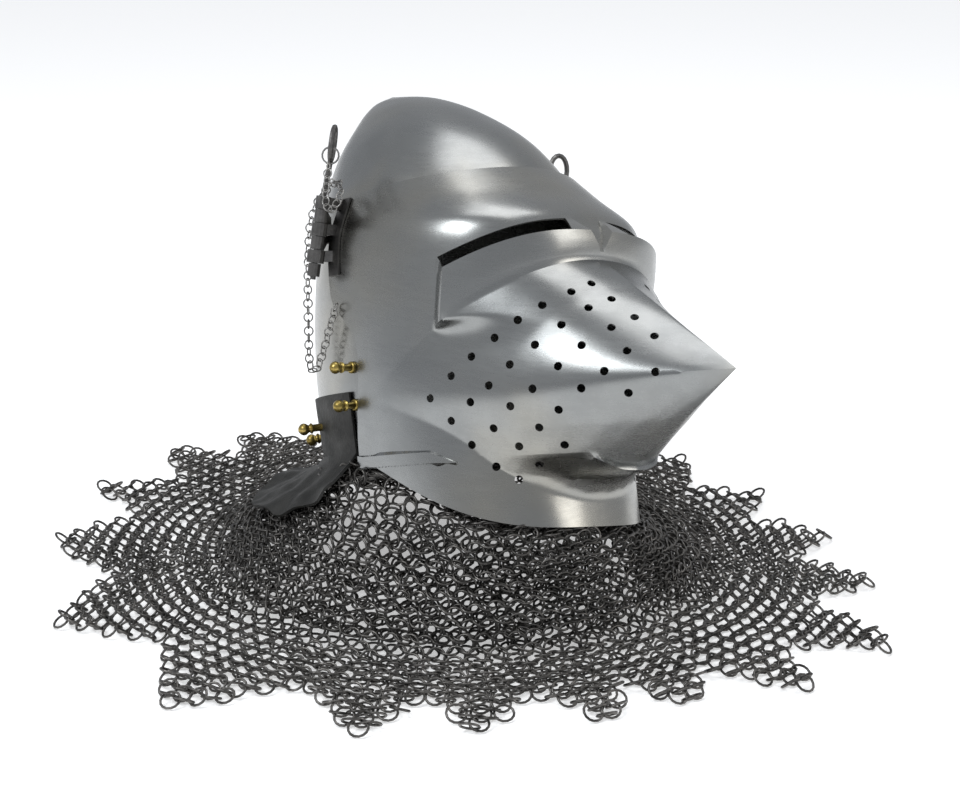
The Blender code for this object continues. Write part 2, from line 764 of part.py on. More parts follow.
def make_front_leaf(label, side, finish, parent):
    """The leaf on the visor: a foot along its side, and a tongue up to each knuckle."""
    top, bottom = hinge_axis()
    along = (bottom - top) / KNUCKLES
    rear_x = VISOR_REAR_X + LEAF_FOOT_MARGIN
    foot = bmesh.new()
    rows = []
    for index in range(KNUCKLES + 1):
        middle = top + along * index
        corners = []
        for forward, out in ((0.0, 0.0), (LEAF_FOOT_LENGTH, 0.0), (LEAF_FOOT_LENGTH, 1.0), (0.0, 1.0)):
            corner = side_point(rear_x + forward, middle.z, GAP + LEAF_THICKNESS * out)
            corners.append(foot.verts.new(mirrored(corner, side)))
        rows.append(corners)
    for start, end in zip(rows, rows[1:]):
        for index in range(4):
            after = (index + 1) % 4
            foot.faces.new((start[index], start[after], end[after], end[index]))
    foot.faces.new(rows[0])
    foot.faces.new(rows[-1])
    leaf = bmesh_object("hinge_front_leaf_" + label, foot, finish, parent)
    tongues = bmesh.new()
    trim = along.normalized() * GAP * 2.0
    for index in range(0, KNUCKLES, 2):
        start = top + along * index + trim
        end = top + along * (index + 1) - trim
        foot_x = rear_x + 2.0 * LEAF_THICKNESS
        feet = [side_point(foot_x, point.z, GAP + LEAF_THICKNESS / 2.0) for point in (end, start)]
        behind = Vector((LEAF_THICKNESS, 0.0, 0.0))
        outline = [mirrored(point - behind, side) for point in [start, end] + feet]
        add_prism(tongues, outline, Vector((2.0 * LEAF_THICKNESS, 0.0, 0.0)))
    tool = hide_cutter(bmesh_object("front_tongues_" + label, tongues, None, parent))
    boolean(leaf, tool, "UNION")
    knuckles = bmesh_object("front_knuckles_" + label, knuckle_cylinders(0, 0.0, side), None, parent)
    boolean(leaf, hide_cutter(knuckles), "UNION")
    bore = bmesh_object("front_pin_hole_" + label, pin_hole(side), None, parent)
    boolean(leaf, hide_cutter(bore), "DIFFERENCE")
    return leaf


def pivot_arm_y():
    """How far out the pivot arm's inner face is, clear of the skull as it turns."""
    return skull_half_width_at(PIVOT_X + PIVOT_ARM_RADIUS, PIVOT_Z - PIVOT_ARM_RADIUS) + 2.0 * GAP


def make_rear_leaf(label, side, finish, parent):
    """The leaf behind the hinge: an arm to the pivot on the skull, and a web out to its knuckles."""
    top, bottom = hinge_axis()
    inner_y = -pivot_arm_y()
    front_x = (bottom.x + PIVOT_X) / 2.0 + LEAF_THICKNESS
    outline = []
    for step in range(ROUND_SIDES + 1):
        turn = math.pi * (0.5 + step / ROUND_SIDES)
        x = PIVOT_X + PIVOT_ARM_RADIUS * math.cos(turn)
        outline.append(mirrored((x, inner_y, PIVOT_Z + PIVOT_ARM_RADIUS * math.sin(turn)), side))
    for up in (-PIVOT_ARM_RADIUS, PIVOT_ARM_RADIUS):
        outline.append(mirrored((front_x, inner_y, PIVOT_Z + up), side))
    arm = bmesh.new()
    add_prism(arm, outline, mirrored((0.0, -LEAF_THICKNESS, 0.0), side))
    leaf = bmesh_object("hinge_rear_leaf_" + label, arm, finish, parent)
    web = bmesh.new()
    behind = Vector((-KNUCKLE_RADII[-1] * WEB_PLACE, 0.0, 0.0))
    along = (bottom - top).normalized()
    rear = Vector((front_x - LEAF_THICKNESS / 2.0, inner_y - LEAF_THICKNESS / 2.0, PIVOT_Z))
    reach = along * (PIVOT_ARM_RADIUS - LEAF_THICKNESS)
    outline = [top + behind + along * GAP, bottom + behind - along * GAP, rear + reach, rear - reach]
    outline = [mirrored(point, side) for point in outline]
    add_prism(web, outline, Vector((-LEAF_THICKNESS, 0.0, 0.0)))
    boolean(leaf, hide_cutter(bmesh_object("rear_web_" + label, web, None, parent)), "UNION")
    room = bmesh_object("rear_room_" + label, knuckle_cylinders(0, GAP, side), None, parent)
    boolean(leaf, hide_cutter(room), "DIFFERENCE")
    knuckles = bmesh_object("rear_knuckles_" + label, knuckle_cylinders(1, 0.0, side), None, parent)
    boolean(leaf, hide_cutter(knuckles), "UNION")
    bore = bmesh_object("rear_pin_hole_" + label, pin_hole(side), None, parent)
    boolean(leaf, hide_cutter(bore), "DIFFERENCE")
    bore = bmesh.new()
    radius = PIVOT_STUD_RADIUS + PIN_CLEARANCE
    start = mirrored((PIVOT_X, inner_y + LEAF_THICKNESS, PIVOT_Z), side)
    end = mirrored((PIVOT_X, inner_y - 2.0 * LEAF_THICKNESS, PIVOT_Z), side)
    add_cylinder(bore, start, end, radius, ROUND_SIDES)
    boolean(leaf, hide_cutter(bmesh_object("pivot_bore_" + label, bore, None, parent)), "DIFFERENCE")
    return leaf


def make_pivot_stud(label, side, finish, parent):
    """The stud on the skull that the arm turns on, with its flat head outside the arm."""
    radius = PIVOT_STUD_RADIUS
    foot_y = -skull_half_width_at(PIVOT_X + radius, PIVOT_Z - radius) - GAP
    head_y = -pivot_arm_y() - LEAF_THICKNESS - GAP
    shaft = bmesh.new()
    foot = mirrored((PIVOT_X, foot_y, PIVOT_Z), side)
    neck = mirrored((PIVOT_X, head_y - PIVOT_HEAD_HEIGHT / 2.0, PIVOT_Z), side)
    add_cylinder(shaft, foot, neck, radius, ROUND_SIDES)
    stud = bmesh_object("pivot_stud_" + label, shaft, finish, parent)
    head = bmesh.new()
    start = mirrored((PIVOT_X, head_y, PIVOT_Z), side)
    end = mirrored((PIVOT_X, head_y - PIVOT_HEAD_HEIGHT, PIVOT_Z), side)
    add_cylinder(head, start, end, PIVOT_HEAD_RADIUS, ROUND_SIDES)
    boolean(stud, hide_cutter(bmesh_object("pivot_head_" + label, head, None, parent)), "UNION")
    return stud


def pin_eye_axes(side):
    """The directions across and up the pin's eye, which stands in line with the barrel."""
    top, bottom = hinge_axis()
    turn = math.radians(PIN_EYE_TURN)
    up = (top - bottom).normalized()
    across = Vector((math.cos(turn), math.sin(turn), 0.0))
    across = (across - up * across.dot(up)).normalized()
    return mirrored(across, side), mirrored(up, side)


def make_pin(label, side, finish, parent):
    """The pin down the barrel, bent out above it to a long eye."""
    top, bottom = hinge_axis()
    along = (bottom - top).normalized()
    across, up = pin_eye_axes(side)
    eye = Vector(PIN_EYE_CENTRE)
    neck = eye + along * PIN_EYE_HALF_HEIGHT
    bend = top - along * PIN_RADIUS
    shape = bmesh.new()
    foot = mirrored(bottom + along * PIN_FOOT, side)
    add_cylinder(shape, mirrored(bend - along * PIN_RADIUS, side), foot, PIN_RADIUS, PIN_SIDES)
    pin = bmesh_object("hinge_pin_" + label, shape, finish, parent)
    shape = bmesh.new()
    add_cylinder(shape, mirrored(bend, side), mirrored(neck, side), PIN_RADIUS * PIN_NECK_SHARE, PIN_SIDES)
    boolean(pin, hide_cutter(bmesh_object("pin_neck_" + label, shape, None, parent)), "UNION")
    shape = bmesh.new()
    centre = mirrored(eye, side)
    wire = PIN_RADIUS * PIN_EYE_SHARE
    half_width = across * PIN_EYE_HALF_WIDTH
    half_height = up * PIN_EYE_HALF_HEIGHT
    add_loop(shape, centre, half_width, half_height, wire, PIN_EYE_POINTS, PIN_EYE_SIDES)
    boolean(pin, hide_cutter(bmesh_object("pin_eye_" + label, shape, None, parent)), "UNION")
    return pin


def make_split_ring(label, side, finish, parent):
    """The ring that hangs in the pin's eye, across its plane."""
    across, up = pin_eye_axes(side)
    share = RING_PLACE / PIN_EYE_HALF_WIDTH
    wire_drop = PIN_EYE_HALF_HEIGHT * math.sqrt(1.0 - share * share)
    centre = mirrored(PIN_EYE_CENTRE, side) + across * RING_PLACE - up * (wire_drop - RING_REST)
    normal = across.cross(up)
    shape = bmesh.new()
    add_loop(shape, centre, normal * RING_RADIUS, up * RING_RADIUS, RING_WIRE_RADIUS, RING_POINTS, RING_SIDES)
    return bmesh_object("split_ring_" + label, shape, finish, parent)


def make_chain(label, side, finish, parent):
    """The pin's chain, as the tube that its links fill."""
    curve = bpy.data.curves.new("pin_chain_" + label, "CURVE")
    curve.dimensions = "3D"
    curve.bevel_depth = CHAIN_RADIUS * MM
    curve.bevel_resolution = 2
    curve.use_fill_caps = True
    spline = curve.splines.new("POLY")
    route = smooth_route([mirrored(point, side) for point in CHAIN_ROUTE], CHAIN_STEP)
    spline.points.add(len(route) - 1)
    for target, point in zip(spline.points, route):
        target.co = (*(point * MM), 1.0)
    curve.materials.append(finish)
    chain = bpy.data.objects.new("pin_chain_" + label, curve)
    bpy.context.scene.collection.objects.link(chain)
    chain.parent = parent
    return chain


# The vervelles around the skull's lower edge

def vervelle_place(angle, height, side):
    """The foot and the outward direction of a vervelle."""
    turn = math.radians(angle)
    foot = Vector(skull_point(height, turn, GAP))
    along = Vector(skull_point(height, turn + PROBE_TURN)) - Vector(skull_point(height, turn - PROBE_TURN))
    rise = Vector(skull_point(height + PROBE_RISE, turn)) - Vector(skull_point(height - PROBE_RISE, turn))
    outward = along.cross(rise).normalized()
    return mirrored(foot, side), mirrored(outward, side)


def vervelle_places():
    """Names, feet and directions of all the vervelles, right side first, with one at the back."""
    places = []
    for number, (angle, share) in enumerate(VERVELLES, 1):
        height = share * LEATHER_TOP_Z
        if angle == VERVELLE_BACK:
            places.append(("back", *vervelle_place(angle, height, 1)))
        else:
            places.append(("right_%d" % number, *vervelle_place(angle, height, -1)))
            places.append(("left_%d" % number, *vervelle_place(angle, height, 1)))
    return places


def make_vervelle(label, foot, outward, finish, parent):
    across = outward.orthogonal().normalized()
    other = outward.cross(across)
    points = []
    for out, radius in VERVELLE_PROFILE:
        middle = foot + outward * out * VERVELLE_LENGTH
        for step in range(VERVELLE_SIDES):
            turn = 2.0 * math.pi * step / VERVELLE_SIDES
            offset = across * math.cos(turn) + other * math.sin(turn)
            points.append(middle + offset * radius * VERVELLE_BALL_RADIUS)
    rows = len(VERVELLE_PROFILE)
    faces = [tuple(reversed(face)) for face in grid_faces(rows, VERVELLE_SIDES, True)]
    faces.append(tuple(reversed(range(VERVELLE_SIDES))))
    faces.append(tuple(range((rows - 1) * VERVELLE_SIDES, rows * VERVELLE_SIDES)))
    return mesh_object("vervelle_" + label, points, faces, finish, parent)


# The mail, spread on the floor and heaped up to the helmet's rim

def helmet_matrix():
    basis = Matrix(((0, 1, 0), (-1, 0, 0), (0, 0, 1)))
    turn = Matrix.Rotation(math.radians(HEADING), 3, "Z")
    lean = Matrix.Rotation(-math.radians(LEAN_LEFT), 3, "X")
    nose = Matrix.Rotation(-math.radians(NOSE_UP), 3, "Y")
    return Matrix.LocRotScale(Vector(HELMET_PLACE), turn @ basis @ lean @ nose, None)


def mail_outline():
    """Columns round the mail: the bearing and the reach of each tip, valley and point between."""
    columns = []
    for index, (bearing, share) in enumerate(DAGS):
        after_bearing, after_share = DAGS[(index + 1) % len(DAGS)]
        if after_bearing < bearing:
            after_bearing += 360.0
        valley_bearing = (bearing + after_bearing) / 2.0
        valley = MAIL_VALLEY * (share + after_share) / 2.0
        ends = ((bearing, share), (valley_bearing, valley), (after_bearing, after_share))
        for (start_bearing, start), (end_bearing, end) in zip(ends, ends[1:]):
            first = polar(start_bearing, start * MAIL_RADIUS)
            last = polar(end_bearing, end * MAIL_RADIUS)
            columns += [first, (first + last) / 2.0]
    return columns


def polar(bearing, radius):
    turn = math.radians(bearing)
    return Vector((math.cos(turn), math.sin(turn), 0.0)) * radius


def mail_rim(bearing):
    """The mail's underside just below the helmet's lower edge, at a bearing on the floor."""
    angle = math.remainder(math.radians(bearing + 90.0 - HEADING), 2.0 * math.pi)
    ahead = visor_point(CHIN_BOTTOM_Z, max(min(angle, math.pi / 2.0), -math.pi / 2.0))
    behind = Vector(skull_point(SKULL_RIM_Z, angle))
    edge = ahead.lerp(behind, ease((math.degrees(abs(angle)) - MAIL_SIDE_START) / MAIL_SIDE_WIDTH))
    return helmet_matrix() @ edge - Vector((0.0, 0.0, MAIL_THICKNESS + MAIL_DROP))


def mail_mound(bearing, share):
    """A point of the mail's underside between the helmet's edge and the foot of the mound."""
    rim = mail_rim(bearing)
    point = rim.lerp(polar(bearing, MAIL_FOOT_RADIUS), share)
    point.z = rim.z * (1.0 - share) ** MAIL_MOUND_BEND
    return point


def mail_ring(bearing):
    """The mail's inner edge, inside the helmet."""
    rim = mail_rim(bearing)
    middle = helmet_matrix() @ Vector((0.0, 0.0, 0.0))
    return Vector((rim.x + (middle.x - rim.x) * MAIL_INWARD, rim.y + (middle.y - rim.y) * MAIL_INWARD, rim.z))


def make_mail(finish, parent):
    outline = mail_outline()
    bearings = [math.degrees(math.atan2(edge.y, edge.x)) for edge in outline]
    rows = [[mail_ring(bearing) for bearing in bearings]]
    for row in range(MAIL_MOUND_ROWS + 1):
        rows.append([mail_mound(bearing, row / MAIL_MOUND_ROWS) for bearing in bearings])
    for row in range(1, MAIL_FLAT_ROWS + 1):
        share = row / MAIL_FLAT_ROWS
        inner = MAIL_FOOT_RADIUS * (1.0 - share)
        rows.append([edge.normalized() * inner + edge * share for edge in outline])
    columns = len(outline)
    under = [point for row in rows for point in row]
    over = [point + Vector((0.0, 0.0, MAIL_THICKNESS)) for point in under]
    faces = [tuple(reversed(face)) for face in grid_faces(len(rows), columns, True)]
    shift = len(under)
    last = shift - columns
    underside = [tuple(reversed(face)) for face in faces]
    top = [tuple(index + shift for index in face) for face in faces]
    for column in range(columns):
        after = (column + 1) % columns
        top.append((column, after, after + shift, column + shift))
        top.append((last + after, last + column, last + column + shift, last + after + shift))
    faces = [tuple(reversed(face)) for face in top + underside]
    return mesh_object("mail_aventail", under + over, faces, finish, parent)


# The leather band round the skull, with its skirt spread on the mail

def leather_point(angle, row):
    """A point of the leather's inside, in the mail's frame; rows from 0 to 2 lie on the skull."""
    turn = math.radians(angle)
    if row <= 2:
        height = LEATHER_TOP_Z + (SKULL_RIM_Z + 1.0 - LEATHER_TOP_Z) * row / 2.0
        return helmet_matrix() @ Vector(skull_point(height, turn, 2.0 * GAP))
    away = (angle - 360.0 + LEATHER_FLAP_ANGLE) / LEATHER_FLAP_WIDTH
    spread = LEATHER_SKIRT + LEATHER_FLAP * math.exp(-away * away)
    bearing = angle - 90.0 + HEADING
    down = (row - 2.0) / LEATHER_SKIRT_ROWS
    share = spread * down + LEATHER_SKIRT_START
    fold = LEATHER_FOLD * (1.0 + math.cos(turn * LEATHER_FOLDS)) * down
    return mail_mound(bearing, share) + Vector((0.0, 0.0, MAIL_THICKNESS + 3.0 * GAP + fold))


def make_leather(finish, parent):
    points = []
    rows = 3 + LEATHER_SKIRT_ROWS
    for row in range(rows):
        for column in range(LEATHER_COLUMNS + 1):
            share = column / LEATHER_COLUMNS
            angle = LEATHER_START_ANGLE + (360.0 - 2.0 * LEATHER_START_ANGLE) * share
            points.append(leather_point(angle, row))
    faces = grid_faces(rows, LEATHER_COLUMNS + 1, False)
    leather = mesh_object("leather_band", points, faces, finish, parent)
    modifier = leather.modifiers.new("thickness", "SOLIDIFY")
    modifier.thickness = LEATHER_THICKNESS * MM
    modifier.offset = 1.0
    holes = bmesh.new()
    for label, foot, outward in vervelle_places():
        start = helmet_matrix() @ (foot - outward * VERVELLE_HOLE_DEPTH)
        end = helmet_matrix() @ (foot + outward * VERVELLE_HOLE_REACH)
        add_cylinder(holes, start, end, VERVELLE_HOLE_RADIUS, VERVELLE_HOLE_SIDES)
    boolean(leather, hide_cutter(bmesh_object("vervelle_holes", holes, None, parent)), "DIFFERENCE")
    return leather


def make_empty(name, matrix, parent):
    made = bpy.data.objects.new(name, None)
    bpy.context.scene.collection.objects.link(made)
    made.matrix_world = matrix
    made.parent = parent
    return made


def main():
    for old in list(bpy.data.objects):
        bpy.data.objects.remove(old, do_unlink=True)
    steel = material("polished_steel", (0.62, 0.62, 0.61), 1.0, 0.28)
    dark_steel = material("dark_steel", (0.16, 0.15, 0.14), 0.9, 0.45)
    wire = material("blackened_wire", (0.22, 0.21, 0.20), 0.9, 0.4)
    brass = material("aged_brass", (0.46, 0.34, 0.12), 1.0, 0.35)
    leather = material("black_leather", (0.02, 0.02, 0.018), 0.0, 0.7)
    outline = mail_outline()
    low = [min(point[axis] for point in outline) for axis in (0, 1)]
    high = [max(point[axis] for point in outline) for axis in (0, 1)]
    middle = [-(start + end) / 2.0 for start, end in zip(low, high)]
    ground = make_empty("ground_frame", Matrix.Translation(Vector((*middle, 0.0)) * MM), None)
    place = helmet_matrix()
    place.translation *= MM
    helmet = make_empty("helmet_frame", place, ground)
    make_skull(steel, helmet)
    make_visor(steel, helmet)
    for label, side in (("right", 1), ("left", -1)):
        make_front_leaf(label, side, dark_steel, helmet)
        make_rear_leaf(label, side, dark_steel, helmet)
        make_pivot_stud(label, side, dark_steel, helmet)
        make_pin(label, side, dark_steel, helmet)
        make_split_ring(label, side, wire, helmet)
        make_chain(label, side, wire, helmet)
    for label, foot, outward in vervelle_places():
        make_vervelle(label, foot, outward, brass, helmet)
    make_leather(leather, ground)
    make_mail(wire, ground)


main()
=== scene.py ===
"""The looks of a hounskull bascinet on its spread mail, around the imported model."""
import math
import random

import bmesh
import bpy
from mathutils import Matrix, Vector, noise
from mathutils.kdtree import KDTree


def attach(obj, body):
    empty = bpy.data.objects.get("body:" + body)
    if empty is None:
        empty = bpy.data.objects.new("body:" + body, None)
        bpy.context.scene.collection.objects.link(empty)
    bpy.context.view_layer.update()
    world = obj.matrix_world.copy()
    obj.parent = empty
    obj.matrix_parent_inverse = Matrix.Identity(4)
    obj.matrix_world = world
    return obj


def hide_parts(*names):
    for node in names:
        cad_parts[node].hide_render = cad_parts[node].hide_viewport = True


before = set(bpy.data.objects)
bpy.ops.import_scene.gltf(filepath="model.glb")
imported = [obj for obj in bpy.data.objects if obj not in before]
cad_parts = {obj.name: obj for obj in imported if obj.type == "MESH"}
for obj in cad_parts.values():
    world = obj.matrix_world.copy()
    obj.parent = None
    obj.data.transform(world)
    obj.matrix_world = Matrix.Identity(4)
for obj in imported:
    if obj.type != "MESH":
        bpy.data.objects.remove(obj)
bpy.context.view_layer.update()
chance = random.Random(20)

MM = 0.001

# The helmet's place on the floor, in millimetres and degrees
HEADING = 40.9
NOSE_UP = 17.96
LEAN_LEFT = 12.97
HELMET_PLACE = (13.1, -33.2, 23.1)

# The skull
SKULL_APEX_Z = 319.0
SKULL_APEX_X = -68.5
SKULL_HALF_WIDTH = 94.0
SKULL_FRONT = 94.0
SKULL_BACK = 114.0
SKULL_RIM_Z = 58.0
SKULL_ROWS = 90
SKULL_COLUMNS = 160
SKULL_TIP_DROP = 0.05
SKULL_ROW_BEND = 1.55
WALL = 1.6
FACE_BROW_Z = 209.0
FACE_EDGE_X = 13.0
FACE_DEPTH = 75.0
FACE_BROW_RISE = 0.04
FACE_CUT_AHEAD = 40.0
FACE_CUT_BELOW = 10.0
FACE_CUT_ASIDE = 20.0

# The visor
VISOR_HALF_WIDTH = 99.0
VISOR_FRONT = 123.0
VISOR_CENTRE_X = -12.0
VISOR_TOP_Z = 245.0
VISOR_REAR_X = -25.0
BROW_Z = 204.0
LIP_Z = 194.6
SLIT_ENDS_AT_BROW = (5.9, 58.7, 60.2)
SLIT_ENDS_AT_LIP = (8.4, 55.1, 58.7)
LIP_LIFT = 11.0
NOTCH_TOP_Z = 200.0
NOTCH_BOTTOM_Z = 181.0
NOTCH_HALF_WIDTH = 12.0
NOTCH_WALL = 0.8
NOTCH_FLOOR_LIFT = 0.9
NOTCH_SIDE_LIMIT = 0.75
NOTCH_FOOT_LIMIT = 0.85
BAND_BOTTOM_Z = 175.5
SNOUT_LENGTH = 131.0
SNOUT_TIP_Z = 96.0
SNOUT_HALF_WIDTH = 96.0
SNOUT_NARROWING = 11.0
SNOUT_NARROWING_DEPTH = 40.0
SNOUT_RISE = 80.0
SNOUT_FALL = 78.0
SNOUT_SWELL = 14.0
SNOUT_LEVELS_ABOVE = (2.2, 1.0)
SNOUT_LEVELS_BELOW = (2.0, 1.2)
SNOUT_CREASE_DEPTH = 5.0
SNOUT_CREASE_WIDTH = 14.0
MOUTH_Z = 42.0
CHIN_CREASE_Z = 19.0
CHIN_BOTTOM_Z = 4.0

# The breath holes
BREATH_DIAMETER = 5.5
BREATH_SIDES = 20
BREATH_CUT = 9.0
PROBE_TURN = 0.05
PROBE_RISE = 3.0

# The chains
LINK_RADIUS = 2.9
LINK_WIRE = 0.5
LINK_STEP = 4.7
LINK_LENGTH_SHARE = 1.04
LINK_POINTS = 20
LINK_SIDES = 8
LINK_ROLL = 90.0
LINK_ROLL_SPREAD = 16.0
ROUTE_FINENESS = 12

# The vervelles
VERVELLE_LENGTH = 19.0
VERVELLE_BALL_RADIUS = 4.2
VERVELLE_SIDES = 28
VERVELLE_FOOT_GAP = 0.1
VERVELLE_PROBE_TURN = 0.02
VERVELLE_PROBE_RISE = 1.0
VERVELLE_BACK = 180.0
LEATHER_TOP_Z = 100.0

# The leather band and its skirt
LEATHER_THICKNESS = 1.8
LEATHER_START_ANGLE = 91.5
LEATHER_COLUMNS = 180
LEATHER_ROWS_ON_SKULL = 10
LEATHER_ROWS_OF_SKIRT = 16
LEATHER_SKIRT = 0.16
LEATHER_FLAP = 0.34
LEATHER_FLAP_ANGLE = 128.0
LEATHER_FLAP_WIDTH = 34.0
LEATHER_SKIRT_START = 0.03
LEATHER_FOLD = 1.8
LEATHER_FOLDS = 12.0
LEATHER_CREASE = 0.6
LEATHER_CREASES = 31.0
LEATHER_REST = 8.5
LEATHER_EDGE_LIFT = 2.0
LEATHER_RUMPLE = 5.0
LEATHER_RUMPLE_SCALE = 0.06

# The mail
MAIL_RADIUS = 300.0
MAIL_THICKNESS = 4.0
MAIL_FOOT_RADIUS = 190.0
MAIL_VALLEY = 0.81
MAIL_DROP = 4.4
MAIL_SIDE_START = 90.0
MAIL_SIDE_WIDTH = 10.0
MAIL_MOUND_BEND = 1.5
RING_RADIUS = 6.0
RING_WIRE = 0.85
RING_PITCH = 12.6
RING_ROW_PITCH = 5.6
RING_LEAN = 33.0
RING_SMALLEST = 0.96
RING_LARGEST = 1.03
RING_POINTS = 14
RING_SIDES = 5
RING_ROWS = 60
NEIGHBOURS = 3
PITCH_LEAST = 0.88
PITCH_MOST = 1.1
EDGE_ROOM = 0.55
SLOPE_PROBE = 2.0
LEAN_SPREAD = 7.0
TWIST_SPREAD = 9.0
AROUND_SPREAD = 0.8
DOWN_SPREAD = 0.6
MAIL_WIDEST_SHARE = 1.12
MOUND_TAPER = 0.8
MOUND_TOP_RADIUS = 100.0
PROFILES = 360
PROFILE_STEPS = 30
UNDER_LAYER_DROP = 3.5
UNDER_LAYER_START = 10.0
MAIL_TUCK = 30.0
RINGS_PER_PIECE = 1200

# The camera
CAMERA_RISE = 18.04
CAMERA_DISTANCE = 1465.6
CAMERA_TARGET = (16.9, 0.0, 116.1)
CAMERA_LENS = 79.8

SKULL_SECTIONS = (
    # height, half width, front and back, as shares of the skull's apex height, half width, front and back
    (0.063, 0.934, 0.927, 0.873),
    (0.188, 0.961, 0.949, 0.935),
    (0.364, 0.999, 0.981, 1.000),
    (0.558, 0.999, 1.004, 0.975),
    (0.721, 0.880, 0.878, 0.945),
    (0.831, 0.707, 0.600, 0.886),
    (0.909, 0.493, 0.235, 0.800),
    (0.972, 0.236, -0.240, 0.717),
    (1.000, 0.000, -0.729, 0.601),
)

FACE_EDGE = (
    # share of the face's depth forward of its rear edge, share of its height up from the rim
    (0.83, 1.0),
    (0.45, 0.90),
    (0.19, 0.72),
    (0.04, 0.48),
    (0.0, 0.2),
)

VISOR_SECTIONS = (
    # height, half width and front, as shares of the skull's apex height and the visor's half width
    # and front, and the section's squareness
    (-0.02, 0.875, 0.990, 2.7),
    (0.188, 0.940, 0.911, 2.7),
    (0.364, 0.990, 0.911, 2.6),
    (0.558, 1.000, 1.000, 2.75),
    (0.640, 0.980, 0.975, 2.75),
    (0.708, 0.894, 0.793, 2.35),
    (0.780, 0.795, 0.590, 2.05),
)

VISOR_REAR_EDGE = (
    # height as a share of the visor's top, and how much the rear edge is cut forward of its hindmost
    (0.016, 0.68),
    (0.265, 0.68),
    (0.408, 0.92),
    (0.520, 1.00),
    (0.590, 0.62),
    (0.670, 0.02),
    (1.000, 0.00),
)

VISOR_ROWS = (
    # name, height in front, drop to the side, bend, reach to its full drop, lift, angle over which the lift
    # fades, share of the snout in front and at the side, angle where the side begins, rows down to the next
    ("top edge", VISOR_TOP_Z, 12.0, 1.3, 1.0, 0.0, 3.6, 0.0, 0.0, 90.0, 6),
    ("forehead", VISOR_TOP_Z - 13.0, 22.0, 1.5, 1.0, 0.0, 3.6, 0.0, 0.0, 90.0, 6),
    ("above brow", BROW_Z + 13.0, 34.0, 1.6, 1.0, 0.0, 3.6, 0.0, 0.0, 90.0, 6),
    ("brow", BROW_Z, 49.5, 1.7, 1.0, 0.0, 3.6, 0.0, 0.0, 90.0, 4),
    ("lip", LIP_Z, 61.0, 2.0, 1.0, 1.0, 3.6, 0.0, 0.0, 90.0, 5),
    ("notch bottom", NOTCH_BOTTOM_Z, 50.7, 1.6, 1.0, 0.97, 3.6, 0.0, 0.0, 90.0, 3),
    ("band bottom", BAND_BOTTOM_Z, 48.5, 1.6, 0.72, 0.9, 3.6, 1.0, 1.0, 90.0, 36),
    ("snout tip", SNOUT_TIP_Z, 0.0, 2.0, 1.0, 0.0, 70.0, 1.0, 1.0, 90.0, 28),
    ("mouth", MOUTH_Z, -10.0, 2.0, 0.16, 0.0, 70.0, 1.0, 1.0, 90.0, 4),
    ("mouth lip", MOUTH_Z - 3.5, -12.0, 2.0, 0.16, 0.0, 70.0, 1.2, 1.0, 14.4, 4),
    ("under mouth", MOUTH_Z - 8.0, -14.0, 1.5, 0.55, 0.0, 70.0, 0.35, 1.0, 40.0, 10),
    ("chin crease", CHIN_CREASE_Z, -38.0, 1.4, 0.72, 0.0, 70.0, 0.0, 0.0, 90.0, 8),
    ("bottom edge", CHIN_BOTTOM_Z, -52.0, 3.0, 1.0, 0.0, 70.0, 0.0, 0.0, 90.0, 1),
)
COLUMN_COUNTS = (5, 1, 8, 44, 4, 28)
SLIT_FIRST_COLUMN = sum(COLUMN_COUNTS[:3])
SLIT_LAST_COLUMN = sum(COLUMN_COUNTS[:4])

BREATH_HOLES = (
    # angle from the front in degrees and height of each hole, in lines down from the band
    (8.8, 157.5), (16.0, 152.0), (25.9, 143.9), (34.2, 135.2),
    (42.1, 125.1), (50.1, 114.5), (57.2, 103.3), (64.4, 90.2),
    (7.4, 146.3), (14.7, 140.8), (24.0, 130.5), (32.8, 118.8),
    (40.7, 107.5), (47.3, 95.3), (52.3, 85.7), (56.3, 74.9),
    (6.3, 133.2), (13.1, 127.0), (22.4, 116.5), (29.9, 104.2),
    (36.5, 91.2), (41.1, 81.4), (43.2, 68.4), (47.3, 59.0),
    (5.9, 120.0), (13.6, 111.3), (20.6, 99.2), (25.4, 89.5),
    (28.6, 77.3), (31.2, 67.2), (33.9, 56.3), (37.9, 44.5),
    (10.9, 96.8), (14.7, 85.0), (22.0, 55.7), (24.4, 44.4), (29.3, 35.6),
)

CHAIN_ROUTE = (
    # forward, to the wearer's left, up
    (-7.9, -110.3, 249.2),
    (-9.0, -111.5, 238.0),
    (-9.5, -112.5, 227.0),
    (-7.0, -111.0, 219.5),
    (-4.0, -107.0, 225.0),
    (-6.0, -102.5, 232.0),
    (-11.0, -99.0, 239.0),
    (-18.0, -98.0, 241.0),
    (-27.0, -97.0, 238.0),
    (-35.0, -101.5, 226.0),
    (-39.5, -103.0, 212.0),
    (-40.5, -104.5, 194.0),
    (-40.3, -105.5, 180.0),
    (-43.0, -104.0, 164.0),
    (-46.5, -101.5, 144.0),
    (-48.3, -100.5, 127.0),
    (-46.0, -100.5, 117.5),
    (-39.5, -100.5, 118.5),
    (-31.5, -100.5, 131.0),
    (-23.0, -101.5, 145.0),
    (-15.0, -103.0, 156.5),
)

VERVELLES = (
    # angle from the front in degrees, height as a share of the leather's top
    (89.6, 1.16),
    (89.6, 0.91),
    (120.0, 0.80),
    (150.0, 0.76),
    (180.0, 0.76),
)

